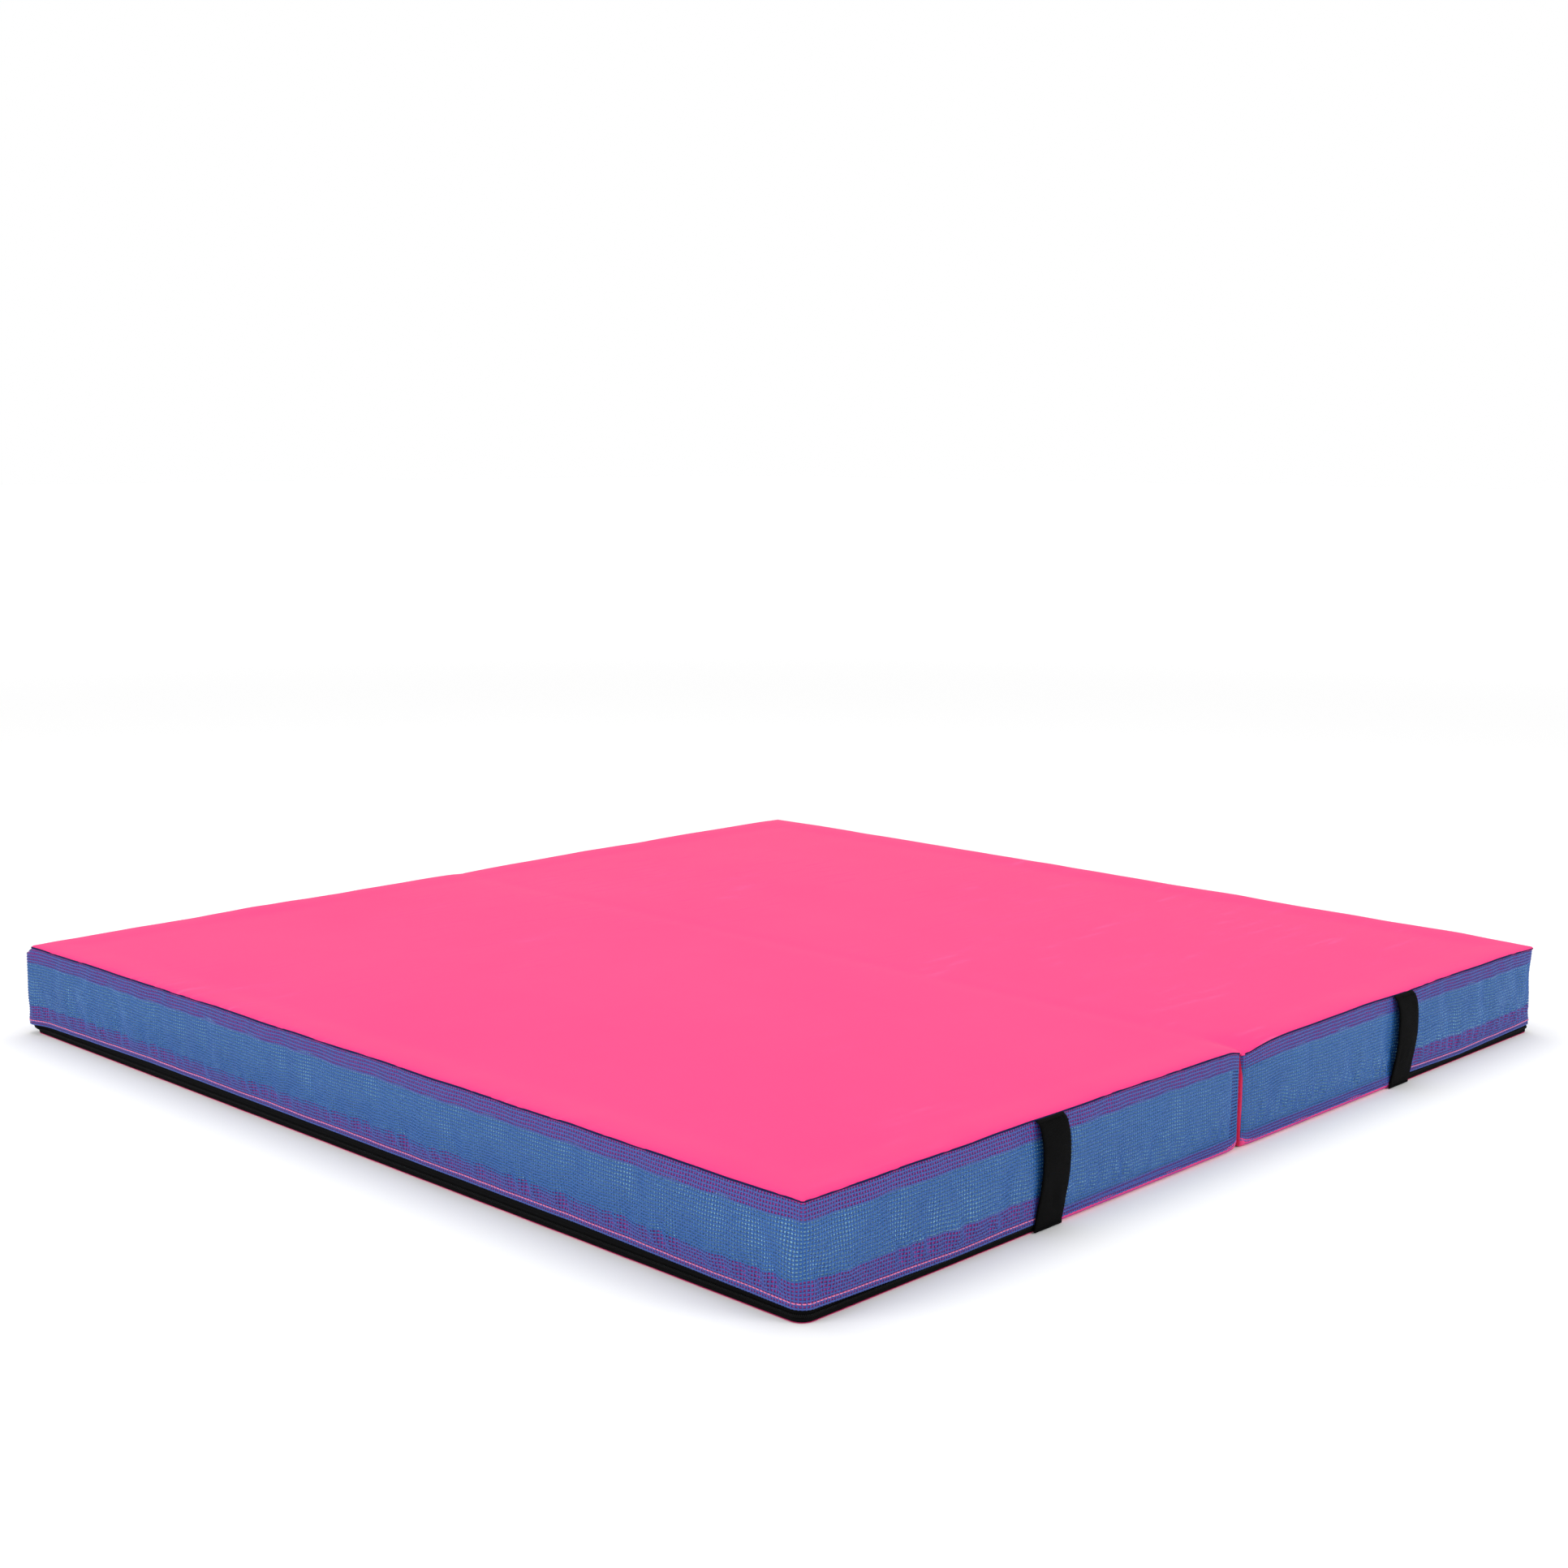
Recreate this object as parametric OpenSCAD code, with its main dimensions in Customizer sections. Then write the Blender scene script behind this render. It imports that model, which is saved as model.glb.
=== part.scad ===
// Folding gym mat: two padded halves under one top sheet, which is the hinge along the middle.
// X runs across the fold, Y along it and Z up. The origin is on the floor below the fold.
// Half a lies on the -X side and half b on the +X side. Sizes are in millimetres.

/* [Mat] */
// Width across the fold, with the mat open
mat_w = 1200; // [900:10:1600]
// Length along the fold
mat_l = 1200; // [600:10:2400]
// Thickness of one half
mat_t = 100; // [80:5:150]
// Radius of the four outer corners
corner_r = 22; // [16:1:40]
// Gap between the two fold walls
fold_gap = 5; // [3:0.5:8]
// Gap left between the two top panels, where the sheet bends
crease_gap = 0.8; // [0.6:0.1:2]

/* [Covers] */
// Thickness of the coated sheet of the top, bottom and fold wall
panel_t = 1.2; // [0.6:0.1:2]
// Thickness of the woven side mesh
mesh_t = 1; // [0.6:0.1:1.5]
// Thickness of the coated facing strips behind the mesh
facing_t = 0.8; // [0.5:0.1:1.2]
// Height of the upper facing strip, down from the top panel
top_facing_h = 17; // [10:1:25]
// Top of the lower facing strip where the zip runs
zip_facing_z = 34; // [25:1:45]
// Top of the lower facing strip between the straps and the fold
plain_facing_z = 15; // [12:1:20]
// Thickness of the hem's topstitching, which stands on the mesh
stitch_t = 0.5; // [0.3:0.1:0.6]
// Width of the hem's topstitching
stitch_w = 0.9; // [0.6:0.1:1.5]
// Height of the hem's topstitching above the floor
stitch_z = 15.5; // [13:0.5:18]

/* [Zip] */
// Height of the chain's middle above the floor
zip_z = 5.8; // [5.6:0.1:6]
// Lower edge of the mesh above the zip
hem_z = 10; // [10:0.5:12]
// Thickness of the zip's tapes
tape_t = 0.6; // [0.4:0.1:0.8]
// Height of the slot between the two tapes
tape_slot = 1.2; // [0.8:0.1:1.6]
// Top of the upper tape, where it is sewn behind the mesh
tape_top_z = 18; // [17:1:24]
// Height of the chain, both coils together
chain_h = 2.4; // [2:0.1:2.6]
// How far the chain stands out from the tapes
chain_t = 1.2; // [0.8:0.1:1.2]
// Gap between the upper and the lower coil
chain_gap = 0.2; // [0.1:0.1:0.4]
// Distance from the strap's middle to the slider when the zip is closed
slider_from_strap = 42; // [40:1:60]
// Length of the slider
slider_l = 13; // [10:1:16]
// Height of the slider across its shoulders
slider_h = 7.6; // [6.6:0.2:7.6]
// How far the slider's body stands out from the mat
slider_out = 1.4; // [1:0.1:2]
// Length of the pull from its bar to its tip
pull_l = 22; // [16:1:22]
// Thickness of the pull
pull_t = 1.2; // [1:0.1:1.4]
// Width of the pull
pull_w = 6.8; // [6:0.2:7]

/* [Straps] */
// Width of the webbing
strap_w = 38; // [25:1:50]
// Thickness of the webbing
strap_t = 2; // [1.5:0.1:3]
// How far the strap bows out from the mesh
strap_bow = 8; // [6:0.5:12]
// Height of the strap's fullest point, as a share of the thickness
strap_full = 0.7; // [0.5:0.05:0.75]
// Length of each end that is sewn down
strap_end = 4.8; // [4:0.2:8]
// Height of the bar tack across each end
tack_h = 2.6; // [2:0.2:3.4]
// Thickness of the bar tack's thread
tack_t = 0.5; // [0.3:0.1:0.8]
// Length of the bar tack across the strap
tack_w = 32; // [20:1:34]

/* [Hidden] */
$fn = 64;
clear = 0.3;                          // least gap between parts that move past each other
cut = 1;                              // how far a cutting solid runs past what it cuts
fold_x = fold_gap / 2;                // outer face of a fold wall
lining_x = fold_x + panel_t;          // inner face of a fold wall
top_z = mat_t - panel_t;              // underside of the top panels
mesh_in = stitch_t;                   // depths below the outermost skin, layer by layer
facing_in = mesh_in + mesh_t;
tape_in = facing_in + facing_t;
foam_in = tape_in + tape_t;
chain_in = tape_in - chain_t;
strap_x = mat_w / 4;                  // middle of each strap
slider_x = strap_x + slider_from_strap;
bridge_w = 2;                         // the slider's bridge, which the pull's bar passes under
bridge_half = 4;
bridge_wall = 1.4;
bridge_top = 1;
bar_y = slider_out + clear + pull_t / 2;
bridge_out = bar_y + pull_t / 2 + clear + bridge_top;

// Places a piece drawn for half b, or its mirror image on half a
module on_half(side) {
    mirror([side < 0 ? 1 : 0, 0, 0]) children();
}

// Plan of one half, from inner_x out to the skin less the inset
module half_plan(inset, inner_x) {
    outer_x = mat_w / 2 - inset;
    end_y = mat_l / 2 - inset;
    r = corner_r - inset;
    translate([inner_x, -end_y]) square([outer_x - r - inner_x, 2 * end_y]);
    translate([inner_x, r - end_y]) square([outer_x - inner_x, 2 * (end_y - r)]);
    for (y = [-1, 1]) translate([outer_x - r, y * (end_y - r)]) circle(r);
}

// Slab of one half between two heights
module half_slab(inset, inner_x, z0, z1) {
    translate([0, 0, z0]) linear_extrude(z1 - z0) half_plan(inset, inner_x);
}

// Strip round the three outer sides of one half, which begins at from_x on both ends
module wall_strip(inset, thickness, from_x, z0, z1) {
    difference() {
        half_slab(inset, from_x, z0, z1);
        half_slab(inset + thickness, from_x - cut, z0 - cut, z1 + cut);
    }
}

// Pair of straight strips, one on each end wall, between two places along X
module end_strips(inset, thickness, from_x, to_x, z0, z1) {
    for (y = [-1, 1])
        translate([from_x, y * (mat_l / 2 - inset - thickness / 2) - thickness / 2, z0])
            cube([to_x - from_x, thickness, z1 - z0]);
}

// Foam block that fills one half
module foam_core(side) {
    color("#f4f4f0") on_half(side) half_slab(foam_in, lining_x, panel_t, top_z);
}

// Half of the top sheet, which runs over the fold
module top_panel(side) {
    color("#ff5596") on_half(side) half_slab(0, crease_gap / 2, top_z, mat_t);
}

// Bottom sheet of one half
module bottom_panel(side) {
    color("#f04f90") on_half(side) half_slab(0, fold_x, 0, panel_t);
}

// Coated wall along the fold
module fold_wall(side) {
    end_y = mat_l / 2 - facing_in;
    color("#d0245a") on_half(side)
        translate([fold_x, -end_y, panel_t]) cube([panel_t, 2 * end_y, top_z - panel_t]);
}

// Woven mesh round the other three sides, cut higher where the zip runs
module mesh_wall(side) {
    color("#417db9") on_half(side) {
        wall_strip(mesh_in, mesh_t, fold_x, hem_z, top_z);
        end_strips(mesh_in, mesh_t, fold_x, strap_x, panel_t, hem_z);
    }
}

// Coated strip behind the mesh along the top seam
module top_facing(side) {
    color("#e8508c") on_half(side)
        wall_strip(facing_in, facing_t, lining_x, top_z - top_facing_h, top_z);
}

// Coated strip behind the mesh along the bottom, taller where the zip is sewn on
module bottom_facing(side) {
    color("#e8508c") on_half(side) {
        wall_strip(facing_in, facing_t, strap_x, hem_z, zip_facing_z);
        end_strips(facing_in, facing_t, lining_x, strap_x, panel_t, plain_facing_z);
    }
}

// Line of thread that holds the upper tape behind the mesh
module hem_stitching(side) {
    color("#ff7fae") on_half(side)
        wall_strip(0, stitch_t, strap_x, stitch_z - stitch_w / 2, stitch_z + stitch_w / 2);
}

// Tape sewn behind the mesh
module zip_upper_tape(side) {
    color("#161616") on_half(side)
        wall_strip(tape_in, tape_t, strap_x, zip_z + tape_slot / 2, tape_top_z);
}

// Tape sewn to the bottom sheet
module zip_lower_tape(side) {
    color("#161616") on_half(side)
        wall_strip(tape_in, tape_t, strap_x, panel_t, zip_z - tape_slot / 2);
}

// One coil of the closed chain: level is 1 for the upper one and -1 for the lower one
module zip_coil(side, level) {
    near = level * chain_gap / 2;
    far = level * chain_h / 2;
    color("#202020") on_half(side)
        wall_strip(chain_in, chain_t, strap_x, zip_z + min(near, far), zip_z + max(near, far));
}

// Moves a piece drawn at the slider's middle, with +Y out of the mat, to the far end wall
module at_slider(side) {
    on_half(side) translate([slider_x, mat_l / 2, zip_z]) children();
}

// Slider body over the chain, with its bridge
module zip_slider(side) {
    back = clear - tape_in;
    shoulder = slider_h / 2;
    color("#2a2a2c") at_slider(side) {
        difference() {
            translate([0, slider_out, 0]) rotate([90, 0, 0]) linear_extrude(slider_out - back)
                polygon([
                    [-slider_l / 2, -shoulder * 0.8], [-slider_l / 4, -shoulder],
                    [slider_l / 2, -shoulder * 0.7], [slider_l / 2, shoulder * 0.7],
                    [-slider_l / 4, shoulder], [-slider_l / 2, shoulder * 0.8]
                ]);
            translate([-slider_l, back - cut, -chain_h / 2 - clear])
                cube([2 * slider_l, cut + chain_t + 2 * clear - clear, chain_h + 2 * clear]);
        }
        translate([0, 0, -bridge_w / 2]) linear_extrude(bridge_w) difference() {
            polygon([
                [-bridge_half, slider_out], [bridge_half, slider_out],
                [bridge_half, bridge_out - bridge_top], [bridge_half - bridge_top, bridge_out],
                [bridge_top - bridge_half, bridge_out], [-bridge_half, bridge_out - bridge_top]
            ]);
            translate([bridge_wall - bridge_half, slider_out - cut])
                square([2 * (bridge_half - bridge_wall), cut + bridge_out - bridge_top - slider_out]);
        }
    }
}

// Pull that lies along the zip, with an eye whose bar runs under the bridge
module zip_pull(side) {
    eye_l = bridge_half + 2;
    eye_h = bridge_w + 4 * clear;
    hole_r = pull_t;
    color("#2a2a2c") at_slider(side) translate([0, bar_y, 0]) {
        translate([0, 0, -pull_w / 2]) cylinder(h = pull_w, r = pull_t / 2);
        rotate([90, 0, 0]) translate([0, 0, -pull_t / 2]) linear_extrude(pull_t) difference() {
            union() {
                translate([0, -pull_w / 2]) square([pull_l - pull_w / 2, pull_w]);
                translate([pull_l - pull_w / 2, 0]) circle(pull_w / 2);
            }
            translate([pull_t / 2, -eye_h / 2]) square([eye_l - pull_t / 2, eye_h]);
            translate([pull_l - pull_w / 2, 0]) circle(hole_r);
        }
    }
}

// Section of a strap, with its width along Z: X is out of the wall and Y is up
module strap_section() {
    low = panel_t + strap_end;
    high = top_z - strap_end;
    full = mat_t * strap_full;
    translate([0, panel_t]) square([strap_t, strap_end]);
    translate([0, high]) square([strap_t, strap_end]);
    for (end = [low, high]) {
        rise = abs(end - full);
        r = (rise * rise + strap_bow * strap_bow) / (2 * strap_bow);
        translate([strap_bow - r, full]) intersection() {
            difference() {
                circle(r + strap_t);
                circle(r);
            }
            translate([r - strap_bow, min(end - full, 0)]) square([strap_bow + strap_t + cut, rise]);
        }
    }
}

// Webbing strap across an end wall: end is 1 for the far end and -1 for the near end
module carry_strap(side, end) {
    color("#141414") on_half(side) mirror([0, end < 0 ? 1 : 0, 0])
        translate([strap_x - strap_w / 2, mat_l / 2 - mesh_in, 0])
            rotate([90, 0, 90]) linear_extrude(strap_w) strap_section();
}

// Bar tacks across both ends of both straps of one half
module strap_tacks(side) {
    middle = strap_end / 2;
    color("#1c1c1c") on_half(side)
        for (end = [-1, 1], z = [panel_t + middle, top_z - middle])
            translate([
                strap_x - tack_w / 2,
                end * (mat_l / 2 - mesh_in + strap_t + tack_t / 2) - tack_t / 2,
                z - tack_h / 2
            ]) cube([tack_w, tack_t, tack_h]);
}

foam_core(-1);  // foam_core_a
foam_core(1);  // foam_core_b
top_panel(-1);  // top_panel_a
top_panel(1);  // top_panel_b
bottom_panel(-1);  // bottom_panel_a
bottom_panel(1);  // bottom_panel_b
fold_wall(-1);  // fold_wall_a
fold_wall(1);  // fold_wall_b
mesh_wall(-1);  // mesh_wall_a
mesh_wall(1);  // mesh_wall_b
top_facing(-1);  // top_facing_a
top_facing(1);  // top_facing_b
bottom_facing(-1);  // bottom_facing_a
bottom_facing(1);  // bottom_facing_b
hem_stitching(-1);  // hem_stitching_a
hem_stitching(1);  // hem_stitching_b
zip_upper_tape(-1);  // zip_upper_tape_a
zip_upper_tape(1);  // zip_upper_tape_b
zip_lower_tape(-1);  // zip_lower_tape_a
zip_lower_tape(1);  // zip_lower_tape_b
zip_coil(-1, 1);  // zip_upper_coil_a
zip_coil(1, 1);  // zip_upper_coil_b
zip_coil(-1, -1);  // zip_lower_coil_a
zip_coil(1, -1);  // zip_lower_coil_b
zip_slider(-1);  // zip_slider_a
zip_slider(1);  // zip_slider_b
zip_pull(-1);  // zip_pull_a
zip_pull(1);  // zip_pull_b
carry_strap(-1, -1);  // near_strap_a
carry_strap(1, -1);  // near_strap_b
carry_strap(-1, 1);  // far_strap_a
carry_strap(1, 1);  // far_strap_b
strap_tacks(-1);  // strap_tacks_a
strap_tacks(1);  // strap_tacks_b
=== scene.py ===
"""Looks of a folding gym mat: two padded halves under one coated top sheet.

X runs across the fold, Y along it and Z up, in metres. Half a lies on the -X side, half b on the +X side.
Each half's side wall is one surface form, and every layer of the wall is laid on it at its own depth.
"""

import logging
import math
from collections.abc import Iterable, Sequence
from dataclasses import dataclass, replace
from enum import Enum

import bpy
import numpy as np
from mathutils import Matrix, Vector


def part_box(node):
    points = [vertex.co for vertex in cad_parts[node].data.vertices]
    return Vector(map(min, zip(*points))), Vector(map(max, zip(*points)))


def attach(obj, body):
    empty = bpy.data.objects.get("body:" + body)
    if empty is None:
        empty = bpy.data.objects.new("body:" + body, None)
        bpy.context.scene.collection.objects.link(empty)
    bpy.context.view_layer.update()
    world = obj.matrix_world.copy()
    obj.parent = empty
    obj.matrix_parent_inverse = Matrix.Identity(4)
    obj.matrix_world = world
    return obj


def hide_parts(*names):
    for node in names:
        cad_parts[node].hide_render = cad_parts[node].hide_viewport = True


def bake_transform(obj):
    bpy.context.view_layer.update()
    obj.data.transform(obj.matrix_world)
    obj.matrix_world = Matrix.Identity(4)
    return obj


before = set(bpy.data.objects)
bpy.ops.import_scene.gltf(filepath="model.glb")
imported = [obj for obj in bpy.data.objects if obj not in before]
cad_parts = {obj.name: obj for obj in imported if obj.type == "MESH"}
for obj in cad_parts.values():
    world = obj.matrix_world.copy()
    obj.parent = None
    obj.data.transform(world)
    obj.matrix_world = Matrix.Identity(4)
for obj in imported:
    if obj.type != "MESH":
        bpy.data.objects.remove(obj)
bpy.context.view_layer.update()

log = logging.getLogger("gym_mat")

Array = np.ndarray
MM = 0.001


class Half(Enum):
    """The two halves of the mat, each with the side of the fold that it lies on."""

    A = -1
    B = 1

    @property
    def letter(self) -> str:
        """The half's letter, as its body and nodes carry it."""
        return self.name.lower()

    @property
    def body(self) -> str:
        """The name of the half's body."""
        return f"half_{self.letter}"

    def node(self, name: str) -> str:
        """The name of one of the half's nodes."""
        return f"{name}_{self.letter}"

    def seed(self, for_a: int, for_b: int) -> int:
        """The half's own seed of the two."""
        return for_a if self is Half.A else for_b


class MatEnd(Enum):
    """The two ends of the mat along the fold."""

    NEAR = -1
    FAR = 1


# ------------------------------------------------------------
# Mesh helpers
# ------------------------------------------------------------


def grid_quads(rows: int, columns: int, first: int = 0, closed: bool = False, flip: bool = False) -> Array:
    """Quads of a grid whose points are stored row by row.

    Args:
        rows: Number of rows of points.
        columns: Number of points in a row.
        first: Index of the grid's first point.
        closed: Whether each row's last point joins its first one.
        flip: Whether the faces look the other way.

    Returns:
        An array of four point indices for each quad.
    """
    index = np.arange(rows * columns).reshape(rows, columns) + first
    after = np.roll(index, -1, axis=1) if closed else index[:, 1:]
    here = index if closed else index[:, :-1]
    quads = np.stack([here[:-1], after[:-1], after[1:], here[1:]], axis=-1).reshape(-1, 4)
    return quads[:, ::-1] if flip else quads


def make_piece(
    name: str,
    points: Array,
    quads: Array,
    caps: Sequence[Sequence[int]] = (),
    uv: Array | None = None,
    smooth: bool = True,
) -> bpy.types.Object:
    """Makes a mesh object from arrays.

    Args:
        name: The piece's name.
        points: Places of the points, three numbers each.
        quads: Four point indices for each quad.
        caps: Further faces with any number of points.
        uv: Two texture coordinates for each point, in metres on the cloth.
        smooth: Whether the faces are shaded smooth.

    Returns:
        The new object, linked to the scene.
    """
    loops = np.concatenate([np.asarray(quads).ravel(), *[np.asarray(cap) for cap in caps]]).astype(np.int32)
    sizes = np.concatenate([np.full(len(quads), 4), [len(cap) for cap in caps]]).astype(np.int32)
    mesh = bpy.data.meshes.new(name)
    mesh.vertices.add(len(points))
    mesh.vertices.foreach_set("co", np.asarray(points, np.float32).ravel())
    mesh.loops.add(len(loops))
    mesh.loops.foreach_set("vertex_index", loops)
    mesh.polygons.add(len(sizes))
    mesh.polygons.foreach_set("loop_start", np.concatenate([[0], np.cumsum(sizes)[:-1]]).astype(np.int32))
    mesh.update(calc_edges=True)
    if uv is not None:
        layer = mesh.uv_layers.new(name="cloth")
        layer.data.foreach_set("uv", np.asarray(uv, np.float32)[loops].ravel())
    mesh.polygons.foreach_set("use_smooth", np.full(len(sizes), smooth))
    mesh.validate()
    piece = bpy.data.objects.new(name, mesh)
    bpy.context.scene.collection.objects.link(piece)
    return piece


def apply_modifiers(piece: bpy.types.Object) -> None:
    """Replaces a piece's mesh by the one that its modifiers make.

    Args:
        piece: The piece, which is left with no modifiers.
    """
    bpy.context.view_layer.update()
    evaluated = piece.evaluated_get(bpy.context.evaluated_depsgraph_get())
    mesh = bpy.data.meshes.new_from_object(evaluated)
    piece.modifiers.clear()
    piece.data = mesh


def thicken(piece: bpy.types.Object, thickness: float) -> None:
    """Gives a sheet its thickness, behind its face.

    Args:
        piece: The sheet.
        thickness: Its thickness.
    """
    thick = piece.modifiers.new("thickness", "SOLIDIFY")
    thick.thickness = thickness
    thick.offset = -1.0
    apply_modifiers(piece)


def tubes(
    centres: Array, across: Array, out: Array, sizes: Array, sides: int, flip: bool
) -> tuple[Array, Array, list[Array]]:
    """Many short closed tubes of the same make.

    Args:
        centres: Places of the stations, (tube, station, 3).
        across: Unit vector across each tube, (tube, station, 3).
        out: Unit vector out of the cloth, (tube, station, 3).
        sizes: Half width and half height at each station, (station, 2).
        sides: Number of sides of a tube.
        flip: Whether the faces look the other way.

    Returns:
        Points, quads and end caps.
    """
    count, stations = centres.shape[:2]
    turn = np.arange(sides) * 2 * math.pi / sides
    wide = sizes[None, :, 0, None] * np.cos(turn)
    high = sizes[None, :, 1, None] * np.sin(turn)
    points = (
        centres[:, :, None]
        + across[:, :, None] * wide[..., None]
        + out[:, :, None] * high[..., None]
    ).reshape(-1, 3)
    one = grid_quads(stations, sides, closed=True, flip=flip)
    starts = np.arange(count) * stations * sides
    quads = (one[None] + starts[:, None, None]).reshape(-1, 4)
    ring = np.arange(sides)
    ends = [ring[::-1], ring + (stations - 1) * sides]
    caps = [(end[::-1] if flip else end) + start for start in starts for end in ends]
    return points, quads, caps


@dataclass(frozen=True)
class Ripple:
    """A smooth, seeded unevenness: a sum of waves of mixed lengths.

    Attributes:
        seed: Seed of the waves' lengths and phases.
        length: Typical wavelength.
        height: Typical height of the sum.
        slant: How far the waves lean from the first axis to the second.
        waves: Number of waves.
    """

    seed: int
    length: float
    height: float
    slant: float = 0.0
    waves: int = 7

    def __call__(self, first: Array, second: Array | float = 0.0) -> Array:
        """Height at each place.

        Args:
            first: Places along the first axis.
            second: Places along the second axis.

        Returns:
            The heights.
        """
        draw = np.random.default_rng(self.seed)
        wave = 2 * math.pi / (self.length * draw.uniform(0.65, 1.7, self.waves))
        lean = wave * self.slant * draw.uniform(-1, 1, self.waves)
        phase = draw.uniform(0, 2 * math.pi, self.waves)
        total = sum(np.sin(w * first + m * second + p) for w, m, p in zip(wave, lean, phase))
        return self.height * total / math.sqrt(self.waves / 2)


def ease(value: Array, low: float, high: float) -> Array:
    """Goes smoothly from 0 to 1.

    Args:
        value: The values.
        low: Value at and below which the result is 0.
        high: Value at and above which it is 1.

    Returns:
        The results.
    """
    share = np.clip((value - low) / (high - low), 0, 1)
    return share * share * (3 - 2 * share)


# ------------------------------------------------------------
# Finishes
# ------------------------------------------------------------

Colour = tuple[float, float, float]


class Graph:
    """A short way to write a node tree."""

    def __init__(self, tree: bpy.types.NodeTree) -> None:
        """Keeps the tree that the nodes go into."""
        self.tree = tree

    def node(self, kind: str, **values: object) -> bpy.types.Node:
        """Adds a node and sets its properties.

        Args:
            kind: Blender's name of the node's type.
            values: The node's properties by name.

        Returns:
            The new node.
        """
        new = self.tree.nodes.new(kind)
        for name, value in values.items():
            setattr(new, name, value)
        return new

    def feed(self, socket: bpy.types.NodeSocket, value: object) -> None:
        """Links an output to a socket, or sets the socket's value.

        Args:
            socket: The input to feed.
            value: Output to link, or a plain value.
        """
        if isinstance(value, bpy.types.NodeSocket):
            self.tree.links.new(value, socket)
        else:
            socket.default_value = value

    def maths(self, operation: str, *values: object) -> bpy.types.NodeSocket:
        """One step of arithmetic.

        Args:
            operation: Blender's name of the operation.
            values: Outputs or numbers.

        Returns:
            The result's output.
        """
        new = self.node("ShaderNodeMath", operation=operation)
        for socket, value in zip(new.inputs, values):
            self.feed(socket, value)
        return new.outputs[0]

    def times(self, first: object, second: object) -> bpy.types.NodeSocket:
        """The product of two outputs or numbers."""
        return self.maths("MULTIPLY", first, second)

    def plus(self, first: object, second: object) -> bpy.types.NodeSocket:
        """The sum of two outputs or numbers."""
        return self.maths("ADD", first, second)

    def noise(self, place: object, scale: object, detail: float) -> bpy.types.NodeSocket:
        """A noise value between about 0 and 1.

        Args:
            place: Output with the texture coordinates.
            scale: Repeats in a metre.
            detail: Number of octaves.

        Returns:
            The noise's output.
        """
        new = self.node("ShaderNodeTexNoise")
        self.feed(new.inputs["Vector"], place)
        self.feed(new.inputs["Scale"], scale)
        new.inputs["Detail"].default_value = detail
        return new.outputs["Fac"]

    def span(
        self, value: object, low: object, high: object, to_low: object, to_high: object
    ) -> bpy.types.NodeSocket:
        """Maps a range of values to another one, held at its ends.

        Args:
            value: Output to map.
            low: Value that gives to_low.
            high: Value that gives to_high.
            to_low: Result at the range's low end.
            to_high: Result at its high end.

        Returns:
            The result's output.
        """
        new = self.node("ShaderNodeMapRange")
        for socket, given in zip(new.inputs, (value, low, high, to_low, to_high)):
            self.feed(socket, given)
        return new.outputs[0]

    def blend(self, share: object, first: object, second: object) -> bpy.types.NodeSocket:
        """Mixes two colours.

        Args:
            share: How much of the second colour there is.
            first: Colour or output.
            second: Colour or output.

        Returns:
            The mixed colour's output.
        """
        new = self.node("ShaderNodeMix", data_type="RGBA")
        self.feed(new.inputs[0], share)
        self.feed(new.inputs[6], first if isinstance(first, bpy.types.NodeSocket) else (*first, 1.0))
        self.feed(new.inputs[7], second if isinstance(second, bpy.types.NodeSocket) else (*second, 1.0))
        return new.outputs[2]


def node_group(
    name: str, inputs: dict[str, float], outputs: Iterable[str]
) -> tuple[bpy.types.NodeTree, Graph]:
    """Starts a shader node group with number sockets.

    Args:
        name: The group's name.
        inputs: Default value of each input.
        outputs: Names of the outputs.

    Returns:
        The group and a graph to build it with.
    """
    group = bpy.data.node_groups.new(name, "ShaderNodeTree")
    for socket, value in inputs.items():
        made = group.interface.new_socket(socket, in_out="INPUT", socket_type="NodeSocketFloat")
        made.default_value = value
    for socket in outputs:
        group.interface.new_socket(socket, in_out="OUTPUT", socket_type="NodeSocketFloat")
    return group, Graph(group)


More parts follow.
